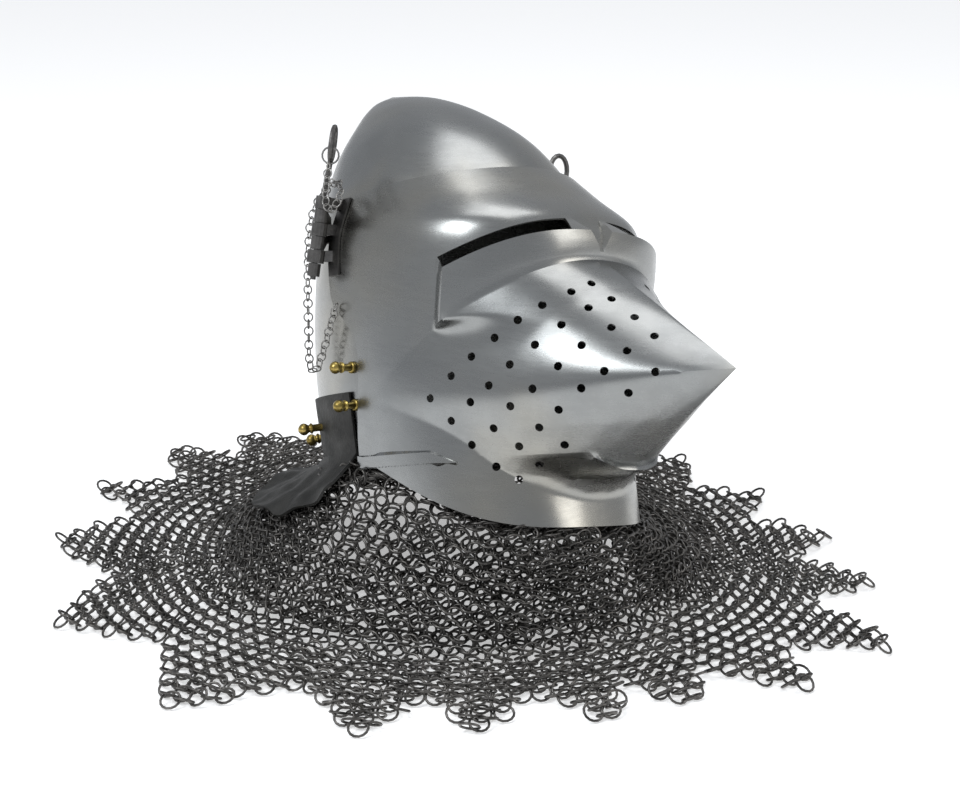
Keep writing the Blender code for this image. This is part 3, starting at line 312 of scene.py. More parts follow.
VERVELLE_PROFILE = (
    # share of the length out from the skull, share of the ball's radius
    (0.00, 0.0), (0.00, 0.90), (0.02, 0.95), (0.08, 0.95), (0.11, 0.88), (0.13, 0.62), (0.44, 0.60),
    (0.47, 0.70), (0.49, 0.86), (0.53, 0.88), (0.56, 0.72),
    (0.59, 0.60), (0.62, 0.62), (0.66, 0.76),
    (0.71, 0.92), (0.78, 1.00), (0.85, 0.94), (0.91, 0.78), (0.96, 0.50), (0.985, 0.32), (1.0, 0.0),
)

DAGS = (
    # bearing of the tip in degrees, its reach as a share of the mail's radius
    (3.4, 0.93),
    (22.9, 0.86),
    (44.7, 0.87),
    (64.0, 0.94),
    (84.0, 0.985),
    (105.0, 0.985),
    (126.6, 0.995),
    (138.6, 1.05),
    (156.6, 1.00),
    (177.6, 0.98),
    (207.0, 1.00),
    (235.9, 1.02),
    (259.0, 1.00),
    (273.3, 0.98),
    (289.5, 0.985),
    (300.5, 1.00),
    (313.8, 1.07),
    (329.1, 1.12),
    (347.2, 0.98),
)


# The same shape rules as the solids have

def ease(share):
    share = min(max(share, 0.0), 1.0)
    return share * share * (3.0 - 2.0 * share)


def smooth(table, column, at):
    """Reads one column of a table of sections through a smooth curve."""
    last = len(table) - 1
    index = 0
    while index < last - 1 and at > table[index + 1][0]:
        index += 1
    rows = [table[min(max(index + step, 0), last)] for step in (-1, 0, 1, 2)]
    span = rows[2][0] - rows[1][0]
    share = min(max((at - rows[1][0]) / span, 0.0), 1.0)
    slope_in = (rows[2][column] - rows[0][column]) / (rows[2][0] - rows[0][0]) * span
    slope_out = (rows[3][column] - rows[1][column]) / (rows[3][0] - rows[1][0]) * span
    cube = share ** 3
    square = share ** 2
    return (
        (2 * cube - 3 * square + 1) * rows[1][column]
        + (cube - 2 * square + share) * slope_in
        + (3 * square - 2 * cube) * rows[2][column]
        + (cube - square) * slope_out
    )


def power(value, exponent):
    return math.copysign(abs(value) ** exponent, value)


def polar(bearing, radius):
    turn = math.radians(bearing)
    return Vector((math.cos(turn), math.sin(turn), 0.0)) * radius


def mail_outline():
    """The mail's edge: each tip, valley and point between."""
    columns = []
    for index, (bearing, share) in enumerate(DAGS):
        after_bearing, after_share = DAGS[(index + 1) % len(DAGS)]
        if after_bearing < bearing:
            after_bearing += 360.0
        valley_bearing = (bearing + after_bearing) / 2.0
        valley = MAIL_VALLEY * (share + after_share) / 2.0
        ends = ((bearing, share), (valley_bearing, valley), (after_bearing, after_share))
        for (start_bearing, start), (end_bearing, end) in zip(ends, ends[1:]):
            first = polar(start_bearing, start * MAIL_RADIUS)
            last = polar(end_bearing, end * MAIL_RADIUS)
            columns += [first, (first + last) / 2.0]
    return columns


OUTLINE = mail_outline()
LOW = [min(point[axis] for point in OUTLINE) for axis in (0, 1)]
HIGH = [max(point[axis] for point in OUTLINE) for axis in (0, 1)]
SHIFT = Vector([-(low + high) / 2.0 for low, high in zip(LOW, HIGH)] + [0.0])
BASIS = Matrix(((0, 1, 0), (-1, 0, 0), (0, 0, 1)))
TURN = Matrix.Rotation(math.radians(HEADING), 3, "Z")
LEAN = Matrix.Rotation(-math.radians(LEAN_LEFT), 3, "X")
NOSE = Matrix.Rotation(-math.radians(NOSE_UP), 3, "Y")
HELMET = Matrix.LocRotScale(Vector(HELMET_PLACE), TURN @ BASIS @ LEAN @ NOSE, None)
GROUND = Matrix.Translation(SHIFT)
HELMET_TO_WORLD = Matrix.Scale(MM, 4) @ GROUND @ HELMET
GROUND_TO_WORLD = Matrix.Scale(MM, 4) @ GROUND


def skull_point(height, angle, out=0.0):
    share = height / SKULL_APEX_Z
    half_width = smooth(SKULL_SECTIONS, 1, share) * SKULL_HALF_WIDTH
    front = smooth(SKULL_SECTIONS, 2, share) * SKULL_FRONT
    back = -smooth(SKULL_SECTIONS, 3, share) * SKULL_BACK
    centre = (front + back) / 2.0
    reach = (front - back) / 2.0 + out
    return Vector((centre + reach * math.cos(angle), (half_width + out) * math.sin(angle), height))


def visor_plan(height):
    share = height / SKULL_APEX_Z
    half_width = smooth(VISOR_SECTIONS, 1, share) * VISOR_HALF_WIDTH
    front = smooth(VISOR_SECTIONS, 2, share) * VISOR_FRONT
    return half_width, front, smooth(VISOR_SECTIONS, 3, share)


def visor_rear(height):
    return VISOR_REAR_X * (1.0 - smooth(VISOR_REAR_EDGE, 1, height / VISOR_TOP_Z))


def snout_inside(across, up, level):
    """How far a place is inside the snout's outline, from 0 at its foot to 1 at its tip."""
    return max(1.0 - (abs(across) ** level + abs(up) ** level) ** (1.0 / level), 0.0)


def snout(y, height):
    above = height > SNOUT_TIP_Z
    reach = SNOUT_RISE if above else SNOUT_FALL
    base_level, tip_level = SNOUT_LEVELS_ABOVE if above else SNOUT_LEVELS_BELOW
    half_width = SNOUT_HALF_WIDTH - SNOUT_NARROWING * ease((SNOUT_TIP_Z - height) / SNOUT_NARROWING_DEPTH)
    inside = snout_inside(y / half_width, (height - SNOUT_TIP_Z) / reach, base_level)
    level = base_level + (tip_level - base_level) * inside
    inside = snout_inside(y / half_width, (height - SNOUT_TIP_Z) / reach, level)
    crease = SNOUT_CREASE_DEPTH * math.tanh(abs(y) / SNOUT_CREASE_WIDTH) * min(inside * 4.0, 1.0)
    if not above:
        crease *= max(1.0 - (SNOUT_TIP_Z - height) / SNOUT_CREASE_WIDTH / 2.0, 0.0)
    return max(SNOUT_LENGTH * inside + SNOUT_SWELL * inside * inside * (1.0 - inside) - crease, 0.0)


def notch_edge(height):
    """The half width of the notch between the slits at a height, which stays small below it."""
    share = (height - NOTCH_BOTTOM_Z) / (NOTCH_TOP_Z - NOTCH_BOTTOM_Z)
    return NOTCH_HALF_WIDTH * min(max(share, 0.1), 1.0)


def visor_shell(height, angle, lift, fade, snout_share):
    half_width, front, squareness = visor_plan(height)
    x = VISOR_CENTRE_X + (front - VISOR_CENTRE_X) * power(math.cos(angle), 2.0 / squareness)
    y = half_width * power(math.sin(angle), 2.0 / squareness)
    if NOTCH_BOTTOM_Z < height < BROW_Z and abs(y) < notch_edge(height) + NOTCH_WALL / 2.0:
        lift = NOTCH_FLOOR_LIFT * max(NOTCH_TOP_Z - height, 0.0) / (NOTCH_TOP_Z - NOTCH_BOTTOM_Z)
    out = LIP_LIFT * lift * ease((SLIT_ENDS_AT_LIP[2] - math.degrees(abs(angle))) / fade)
    x += out * math.cos(angle) + snout(y, height) * snout_share
    y += out * math.sin(angle)
    return Vector((x, y, height))


def visor_row_height(row, angle):
    share = min(abs(angle) / (math.pi / 2.0) / row[4], 1.0)
    return row[1] - row[2] * share ** row[3]


def visor_row_point(row, angle):
    upper, lower, share = row
    ends = []
    for mark in (upper, lower):
        lift, fade, front_share, side_share, side_angle = mark[5:10]
        at_side = ease(2.0 * math.degrees(abs(angle)) / side_angle - 1.0)
        snout_share = front_share + (side_share - front_share) * at_side
        ends.append((visor_row_height(mark, angle), lift, fade, snout_share))
    height, lift, fade, snout_share = (start + (end - start) * share for start, end in zip(*ends))
    return visor_shell(height, angle, lift, fade, snout_share)


def visor_point(height, angle):
    for upper, lower in zip(VISOR_ROWS, VISOR_ROWS[1:]):
        above = visor_row_height(upper, angle)
        below = visor_row_height(lower, angle)
        if below <= height:
            return visor_row_point((upper, lower, (above - height) / (above - below)), angle)
    return visor_row_point((lower, lower, 0.0), angle)


def visor_column_angle(height, y):
    """The angle at which the visor's plan is y wide of its middle."""
    half_width, front, squareness = visor_plan(height)
    return math.asin((y / half_width) ** (squareness / 2.0))


def slit_ends(row):
    """The angles of a row's marks: the slit's inner and outer end and the band's end, in radians."""
    upper, lower, share = row
    marks = [SLIT_ENDS_AT_BROW if mark[1] >= BROW_Z else SLIT_ENDS_AT_LIP for mark in (upper, lower)]
    return [math.radians(start + (end - start) * share) for start, end in zip(*marks)]


def visor_rear_angle(row):
    height = visor_row_point(row, math.pi / 2.0).z
    front, squareness = visor_plan(height)[1:]
    along = (visor_rear(height) - VISOR_CENTRE_X) / (front - VISOR_CENTRE_X)
    return math.acos(power(along, squareness / 2.0))


def visor_angles(row):
    """The angles of one row's columns from the front to the rear edge, in radians."""
    height = visor_row_point(row, 0.0).z
    edge = notch_edge(height)
    inner, outer, band_end = slit_ends(row)
    notch_side = min(visor_column_angle(height, edge), NOTCH_SIDE_LIMIT * inner)
    notch_foot = min(visor_column_angle(height, edge + NOTCH_WALL), NOTCH_FOOT_LIMIT * inner)
    marks = (0.0, notch_side, notch_foot, inner, outer, band_end, visor_rear_angle(row))
    angles = [0.0]
    for start, end, count in zip(marks, marks[1:], COLUMN_COUNTS):
        angles += [start + (end - start) * step / count for step in range(1, count + 1)]
    return angles


def mail_rim(bearing):
    angle = math.remainder(math.radians(bearing + 90.0 - HEADING), 2.0 * math.pi)
    ahead = visor_point(CHIN_BOTTOM_Z, max(min(angle, math.pi / 2.0), -math.pi / 2.0))
    behind = skull_point(SKULL_RIM_Z, angle)
    edge = ahead.lerp(behind, ease((math.degrees(abs(angle)) - MAIL_SIDE_START) / MAIL_SIDE_WIDTH))
    return HELMET @ edge - Vector((0.0, 0.0, MAIL_THICKNESS + MAIL_DROP))


def mail_mound(bearing, share):
    rim = mail_rim(bearing)
    point = rim.lerp(polar(bearing, MAIL_FOOT_RADIUS), share)
    point.z = rim.z * (1.0 - min(share, 1.0)) ** MAIL_MOUND_BEND
    return point


# Mesh helpers

def new_object(name, mesh, finish, matrix):
    """Puts a mesh made in millimetres into the world."""
    mesh.transform(matrix)
    made = bpy.data.objects.new(name, mesh)
    made.data.materials.append(finish)
    bpy.context.scene.collection.objects.link(made)
    return made


def mesh_object(name, points, faces, finish, matrix, sharp=35.0):
    mesh = bpy.data.meshes.new(name)
    mesh.from_pydata([tuple(point) for point in points], [], faces)
    mesh.update()
    mesh.shade_smooth()
    if sharp:
        mesh.set_sharp_from_angle(angle=math.radians(sharp))
    return new_object(name, mesh, finish, matrix)


def grid_faces(rows, columns, closed, keep=None):
    faces = []
    for row in range(rows - 1):
        for column in range(columns if closed else columns - 1):
            after = (column + 1) % columns
            if keep is None or keep(row, column):
                faces.append((
                    row * columns + column,
                    (row + 1) * columns + column,
                    (row + 1) * columns + after,
                    row * columns + after,
                ))
    return faces


def apply_modifiers(made, sharp=None):
    """Replaces an object's mesh by the result of its modifiers."""
    depsgraph = bpy.context.evaluated_depsgraph_get()
    result = bpy.data.meshes.new_from_object(made.evaluated_get(depsgraph))
    made.modifiers.clear()
    made.data = result
    if sharp:
        result.shade_smooth()
        result.set_sharp_from_angle(angle=math.radians(sharp))


def cut(made, cutter):
    modifier = made.modifiers.new("cut", "BOOLEAN")
    modifier.operation = "DIFFERENCE"
    modifier.object = cutter


def thicken(made, thickness, offset=-1.0):
    modifier = made.modifiers.new("wall", "SOLIDIFY")
    modifier.thickness = thickness * MM
    modifier.offset = offset


def remove(made):
    bpy.data.objects.remove(made, do_unlink=True)


def add_cylinder(shape, start, end, radius, sides):
    along = end - start
    turn = along.to_track_quat("Z", "Y").to_matrix().to_4x4()
    place = Matrix.Translation((start + end) / 2.0) @ turn
    bmesh.ops.create_cone(
        shape, cap_ends=True, segments=sides, radius1=radius, radius2=radius, depth=along.length, matrix=place
    )


def torus_points(centre, across, up, wire, count, sides):
    """Points and faces of a round wire bent to an oval of two half axes given as vectors."""
    normal = across.cross(up).normalized()
    points = []
    for step in range(count):
        turn = 2.0 * math.pi * step / count
        middle = centre + across * math.cos(turn) + up * math.sin(turn)
        tangent = (up * math.cos(turn) - across * math.sin(turn)).normalized()
        outward = tangent.cross(normal)
        for side in range(sides):
            roll = 2.0 * math.pi * side / sides
            points.append(middle + (outward * math.cos(roll) + normal * math.sin(roll)) * wire)
    faces = []
    for step in range(count):
        after = (step + 1) % count
        for side in range(sides):
            other = (side + 1) % sides
            faces.append((
                step * sides + side, step * sides + other, after * sides + other, after * sides + side,
            ))
    return points, faces


# Materials

def start_material(name, colour, metallic, roughness):
    made = bpy.data.materials.new(name)
    made.use_nodes = True
    shader = made.node_tree.nodes["Principled BSDF"]
    shader.inputs["Base Color"].default_value = (*colour, 1.0)
    shader.inputs["Metallic"].default_value = metallic
    shader.inputs["Roughness"].default_value = roughness
    return made, made.node_tree, shader


def add_noise(tree, scale, detail=4.0, stretch=(1.0, 1.0, 1.0), roughness=0.5):
    place = tree.nodes.new("ShaderNodeTexCoord")
    mapping = tree.nodes.new("ShaderNodeMapping")
    mapping.inputs["Scale"].default_value = stretch
    noise = tree.nodes.new("ShaderNodeTexNoise")
    noise.inputs["Scale"].default_value = scale
    noise.inputs["Detail"].default_value = detail
    noise.inputs["Roughness"].default_value = roughness
    tree.links.new(place.outputs["Object"], mapping.inputs["Vector"])
    tree.links.new(mapping.outputs["Vector"], noise.inputs["Vector"])
    return noise.outputs["Fac"]


def add_ramp(tree, value, stops):
    """A colour ramp over a value, with stops of place and colour or grey."""
    ramp = tree.nodes.new("ShaderNodeValToRGB")
    for index, (place, colour) in enumerate(stops):
        if isinstance(colour, float):
            colour = (colour, colour, colour)
        stop = ramp.color_ramp.elements[index] if index < 2 else ramp.color_ramp.elements.new(place)
        stop.position = place
        stop.color = (*colour, 1.0)
    tree.links.new(value, ramp.inputs["Fac"])
    return ramp.outputs["Color"]


def add_mix(tree, kind, factor, first, second):
    mix = tree.nodes.new("ShaderNodeMix")
    mix.data_type = "RGBA"
    mix.blend_type = kind
    if isinstance(factor, float):
        mix.inputs["Factor"].default_value = factor
    else:
        tree.links.new(factor, mix.inputs["Factor"])
    tree.links.new(first, mix.inputs["A"])
    tree.links.new(second, mix.inputs["B"])
    return mix.outputs["Result"]


def add_bump(tree, shader, layers):
    """Chains bumps of height, strength and distance in metres onto the shader."""
    before = None
    for height, strength, distance in layers:
        bump = tree.nodes.new("ShaderNodeBump")
        bump.inputs["Strength"].default_value = strength
        bump.inputs["Distance"].default_value = distance
        tree.links.new(height, bump.inputs["Height"])
        if before:
            tree.links.new(before, bump.inputs["Normal"])
        before = bump.outputs["Normal"]
    tree.links.new(before, shader.inputs["Normal"])


def polished_steel():
    made, tree, shader = start_material("polished_steel_look", (0.6, 0.6, 0.59), 1.0, 0.24)
    broad = add_noise(tree, 9.0, 3.0)
    cloud = add_noise(tree, 34.0, 6.0, roughness=0.65)
    fine = add_noise(tree, 420.0, 3.0)
    streaks = add_noise(tree, 60.0, 5.0, (1.0, 1.0, 9.0), 0.7)
    tint = add_ramp(tree, broad, (
        (0.25, (0.27, 0.28, 0.285)), (0.80, (0.38, 0.36, 0.31)), (0.50, (0.31, 0.315, 0.31)),
    ))
    stain = add_ramp(tree, cloud, ((0.30, 0.80), (0.62, 1.0)))
    tree.links.new(add_mix(tree, "MULTIPLY", 0.5, tint, stain), shader.inputs["Base Color"])
    rough = add_ramp(tree, cloud, ((0.25, 0.34), (0.75, 0.19)))
    rough_streaks = add_ramp(tree, streaks, ((0.30, 0.22), (0.75, 0.36)))
    tree.links.new(add_mix(tree, "MIX", 0.45, rough, rough_streaks), shader.inputs["Roughness"])
    add_bump(tree, shader, ((broad, 0.25, 0.004), (cloud, 0.10, 0.0008), (fine, 0.05, 0.0001)))
    return made


def dark_steel():
    made, tree, shader = start_material("dark_steel_look", (0.15, 0.145, 0.14), 1.0, 0.42)
    cloud = add_noise(tree, 90.0, 6.0, roughness=0.7)
    colour = add_ramp(tree, cloud, (
        (0.30, (0.075, 0.072, 0.070)), (0.75, (0.27, 0.26, 0.25)), (0.55, (0.15, 0.145, 0.14)),
    ))
    tree.links.new(colour, shader.inputs["Base Color"])
    tree.links.new(add_ramp(tree, cloud, ((0.30, 0.52), (0.75, 0.30))), shader.inputs["Roughness"])
    add_bump(tree, shader, ((cloud, 0.35, 0.0006),))
    return made


def blackened_wire(name, low, high):
    made, tree, shader = start_material(name, (0.1, 0.1, 0.1), 1.0, 0.38)
    cloud = add_noise(tree, 70.0, 5.0, roughness=0.7)
    colour = add_ramp(tree, cloud, ((0.30, low), (0.72, high)))
    tree.links.new(colour, shader.inputs["Base Color"])
    tree.links.new(add_ramp(tree, cloud, ((0.3, 0.46), (0.7, 0.27))), shader.inputs["Roughness"])
    return made


def aged_brass():
    made, tree, shader = start_material("aged_brass_look", (0.42, 0.31, 0.10), 1.0, 0.3)
    cloud = add_noise(tree, 160.0, 5.0, roughness=0.65)
    colour = add_ramp(tree, cloud, (
        (0.28, (0.13, 0.095, 0.03)), (0.80, (0.62, 0.47, 0.19)), (0.55, (0.40, 0.30, 0.09)),
    ))
    tree.links.new(colour, shader.inputs["Base Color"])
    tree.links.new(add_ramp(tree, cloud, ((0.3, 0.46), (0.7, 0.22))), shader.inputs["Roughness"])
    add_bump(tree, shader, ((cloud, 0.2, 0.0004),))
    return made


def black_leather():
    made, tree, shader = start_material("black_leather_look", (0.02, 0.02, 0.018), 0.0, 0.6)
    grain = tree.nodes.new("ShaderNodeTexVoronoi")
    grain.inputs["Scale"].default_value = 620.0
    place = tree.nodes.new("ShaderNodeTexCoord")
    tree.links.new(place.outputs["Object"], grain.inputs["Vector"])
    cloud = add_noise(tree, 55.0, 6.0, roughness=0.7)
    colour = add_ramp(tree, cloud, ((0.32, (0.005, 0.005, 0.004)), (0.78, (0.024, 0.023, 0.020))))
    tree.links.new(colour, shader.inputs["Base Color"])
    tree.links.new(add_ramp(tree, cloud, ((0.3, 0.72), (0.8, 0.45))), shader.inputs["Roughness"])
    add_bump(tree, shader, ((grain.outputs["Distance"], 0.35, 0.0004), (cloud, 0.4, 0.0015)))
    return made


STEEL = polished_steel()
DARK = dark_steel()
WIRE = blackened_wire("blackened_wire_look", (0.03, 0.029, 0.027), (0.20, 0.19, 0.18))
CHAIN = blackened_wire("chain_wire_look", (0.16, 0.155, 0.15), (0.48, 0.47, 0.45))
BRASS = aged_brass()
LEATHER = black_leather()


# The visor

def make_visor():
    rows = []
    for index, upper in enumerate(VISOR_ROWS):
        lower = VISOR_ROWS[min(index + 1, len(VISOR_ROWS) - 1)]
        rows += [(upper, lower, step / upper[10]) for step in range(upper[10])]
    middle = sum(COLUMN_COUNTS)
    points = []
    for row in rows:
        angles = visor_angles(row)
        for angle in [-angle for angle in reversed(angles[1:])] + angles:
            points.append(visor_row_point(row, angle))

    def keep(row, column):
        away = column - middle if column >= middle else middle - 1 - column
        return rows[row][0][0] != "brow" or not SLIT_FIRST_COLUMN <= away < SLIT_LAST_COLUMN

    faces = grid_faces(len(rows), 2 * middle + 1, False, keep)
    visor = mesh_object("visor_plate", points, faces, STEEL, HELMET_TO_WORLD)
    thicken(visor, WALL)
    cutters = bmesh.new()
    for angle, height in BREATH_HOLES:
        turn = math.radians(angle)
        spot = visor_point(height, turn)
        across = visor_point(height, turn + PROBE_TURN) - visor_point(height, turn - PROBE_TURN)
        down = visor_point(height - PROBE_RISE, turn) - visor_point(height + PROBE_RISE, turn)
        aim = down.cross(across).normalized() * BREATH_CUT
        for side in (1.0, -1.0):
            flip = Vector((1.0, side, 1.0))
            start = (spot - aim) * flip
            end = (spot + aim) * flip
            add_cylinder(cutters, start, end, BREATH_DIAMETER / 2.0, BREATH_SIDES)
    mesh = bpy.data.meshes.new("breath_cutter")
    cutters.to_mesh(mesh)
    cutters.free()
    cutter = new_object("breath_cutter", mesh, STEEL, HELMET_TO_WORLD)
    cut(visor, cutter)
    apply_modifiers(visor, 30.0)
    remove(cutter)
    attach(visor, "visor")
    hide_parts("visor")


# The skull

def make_skull():
    first_z = SKULL_APEX_Z - SKULL_TIP_DROP
    rows = SKULL_ROWS
    columns = SKULL_COLUMNS
    points = []
    for row in range(rows):
        share = row / (rows - 1)
        height = first_z - (first_z - SKULL_RIM_Z) * share ** SKULL_ROW_BEND
        for column in range(columns):
            points.append(skull_point(height, 2 * math.pi * column / columns))
    faces = grid_faces(rows, columns, True)
    points.append(Vector((SKULL_APEX_X, 0.0, SKULL_APEX_Z)))
    for column in range(columns):
        faces.append((rows * columns, column, (column + 1) % columns))
    skull = mesh_object("skull_plate", points, faces, STEEL, HELMET_TO_WORLD)
    thicken(skull, WALL)
    reach = SKULL_FRONT + FACE_CUT_AHEAD
    rise = FACE_BROW_Z - SKULL_RIM_Z
    outline = [(reach, SKULL_RIM_Z - FACE_CUT_BELOW), (reach, FACE_BROW_Z + rise * FACE_BROW_RISE)]
    outline += [
        (FACE_EDGE_X + FACE_DEPTH * forward, SKULL_RIM_Z + rise * up)
        for forward, up in FACE_EDGE
    ]
    outline.append((FACE_EDGE_X, SKULL_RIM_Z - FACE_CUT_BELOW))
    side = SKULL_HALF_WIDTH + FACE_CUT_ASIDE
    count = len(outline)
    points = [(x, y, z) for y in (-side, side) for x, z in outline]
    faces = [tuple(range(count)), tuple(range(2 * count - 1, count - 1, -1))]
    for index in range(count):
        after = (index + 1) % count
        faces.append((index, index + count, after + count, after))
    cutter = mesh_object("face_cutter", points, faces, STEEL, HELMET_TO_WORLD)
    cut(skull, cutter)
    apply_modifiers(skull, 35.0)
    remove(cutter)
    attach(skull, "root")
    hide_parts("skull")


# The vervelles

def make_vervelle(label, angle, height, side):
    turn = math.radians(angle)
    foot = skull_point(height, turn, VERVELLE_FOOT_GAP)
    along = skull_point(height, turn + VERVELLE_PROBE_TURN) - skull_point(height, turn - VERVELLE_PROBE_TURN)
    rise = skull_point(height + VERVELLE_PROBE_RISE, turn) - skull_point(height - VERVELLE_PROBE_RISE, turn)
    outward = along.cross(rise).normalized()
    flip = Vector((1.0, side, 1.0))
    foot, outward = foot * flip, outward * flip
    across = outward.orthogonal().normalized()
    other = outward.cross(across)
    sides = VERVELLE_SIDES
    points = []
    for out, radius in VERVELLE_PROFILE[1:-1]:
        for step in range(sides):
            roll = 2.0 * math.pi * step / sides
            offset = (across * math.cos(roll) + other * math.sin(roll)) * radius * VERVELLE_BALL_RADIUS
            points.append(foot + outward * out * VERVELLE_LENGTH + offset)
    rows = len(VERVELLE_PROFILE) - 2
    faces = [tuple(reversed(face)) for face in grid_faces(rows, sides, True)]
    for out, first, order in ((0.0, 0, 1), (1.0, (rows - 1) * sides, -1)):
        points.append(foot + outward * out * VERVELLE_LENGTH)
        for step in range(sides):
            face = (len(points) - 1, first + (step + 1) % sides, first + step)
            faces.append(face[::order])
    made = mesh_object("vervelle_" + label + "_turned", points, faces, BRASS, HELMET_TO_WORLD, 50.0)
    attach(made, "root")
    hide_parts("vervelle_" + label)


def make_vervelles():
    for number, (angle, share) in enumerate(VERVELLES, 1):
        height = share * LEATHER_TOP_Z
        if angle == VERVELLE_BACK:
            make_vervelle("back", angle, height, 1)
        else:
            make_vervelle("right_%d" % number, angle, height, -1)
            make_vervelle("left_%d" % number, angle, height, 1)


# The chains and the hinges

def smooth_route(points, step):
    fine = []
    count = len(points)
    for index in range(count - 1):
        before, start, end, after = (points[min(max(index + shift, 0), count - 1)] for shift in (-1, 0, 1, 2))
        for part in range(ROUTE_FINENESS):
            share = part / ROUTE_FINENESS
            fine.append(
                0.5 * (
                    2.0 * start + (end - before) * share
                    + (2.0 * before - 5.0 * start + 4.0 * end - after) * share ** 2
                    + (3.0 * start - before - 3.0 * end + after) * share ** 3
                )
            )
    fine.append(points[-1])
    lengths = [0.0]
    for start, end in zip(fine, fine[1:]):
        lengths.append(lengths[-1] + (end - start).length)
    spans = max(round(lengths[-1] / step), 1)
    even = []
    index = 0
    for part in range(spans + 1):
        target = lengths[-1] * part / spans
        while index < len(lengths) - 2 and lengths[index + 1] < target:
            index += 1
        share = (target - lengths[index]) / (lengths[index + 1] - lengths[index])
        even.append(fine[index].lerp(fine[index + 1], share))
    return even


def make_chain(label, side):
    route = smooth_route([Vector(point) * Vector((1.0, side, 1.0)) for point in CHAIN_ROUTE], LINK_STEP)
    points, faces = [], []
    roll = 0.0
    for index, spot in enumerate(route):
        ahead = (route[min(index + 1, len(route) - 1)] - route[max(index - 1, 0)]).normalized()
        flat = ahead.cross(Vector((0.7, -0.7, 0.1))).normalized()
        roll += LINK_ROLL + chance.uniform(-LINK_ROLL_SPREAD, LINK_ROLL_SPREAD)
        across = Matrix.Rotation(math.radians(roll), 3, ahead) @ flat
        half_length = ahead * LINK_RADIUS * LINK_LENGTH_SHARE
        link, link_faces = torus_points(
            spot, across * LINK_RADIUS, half_length, LINK_WIRE, LINK_POINTS, LINK_SIDES
        )
        base = len(points)
        points += link
        faces += [tuple(base + corner for corner in face) for face in link_faces]
    made = mesh_object("pin_chain_links_" + label, points, faces, CHAIN, HELMET_TO_WORLD, None)
    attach(made, "visor")
    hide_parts("pin_chain_" + label)


def dress_hardware():
    for side in ("left", "right"):
        for name in ("hinge_front_leaf_", "hinge_rear_leaf_", "pivot_stud_", "hinge_pin_"):
            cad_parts[name + side].data.materials.clear()
            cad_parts[name + side].data.materials.append(DARK)
        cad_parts["split_ring_" + side].data.materials.clear()
        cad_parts["split_ring_" + side].data.materials.append(CHAIN)


# The mail

def outline_radius(bearing):
    """How far out the mail's edge is at a bearing."""
    aim = polar(bearing, 1.0)
    best = 0.0
    for start, end in zip(OUTLINE, OUTLINE[1:] + OUTLINE[:1]):
        edge = end - start
        cross = aim.x * edge.y - aim.y * edge.x
        if abs(cross) < 1e-9:
            continue
        along = (start.x * edge.y - start.y * edge.x) / cross
        share = (start.x * aim.y - start.y * aim.x) / cross
        if along > 0.0 and -1e-6 <= share <= 1.0 + 1e-6:
            best = max(best, along)
    return best


def mail_profiles(count):
    """For bearings all round, points up the mound with their distance along it from its foot."""
    profiles = []
    for index in range(count):
        bearing = 360.0 * index / count
        rows = []
        length = 0.0
        before = None
        for step in range(PROFILE_STEPS + 1):
            point = mail_mound(bearing, 1.0 - step / PROFILE_STEPS)
            if before:
                length += (point - before).length
            rows.append((length, point))
            before = point
        inside = HELMET.translation - before
        inside.z = 0.0
        rows.append((length + MAIL_TUCK, before + inside.normalized() * MAIL_TUCK))
        profiles.append(rows)
    return profiles


def mail_place(profiles, bearing, inward):
    """A point on the mail at a bearing and a distance inward along it from its foot."""
    if inward <= 0.0:
        return polar(bearing, MAIL_FOOT_RADIUS - inward)
    rows = profiles[round(bearing % 360.0 / 360.0 * len(profiles)) % len(profiles)]
    for (start, first), (end, second) in zip(rows, rows[1:]):
        if end >= inward:
            point = first.lerp(second, (inward - start) / (end - start))
            flat = math.hypot(point.x, point.y)
            heading = math.atan2(point.y, point.x)
            return Vector((flat * math.cos(heading), flat * math.sin(heading), point.z))
    return None


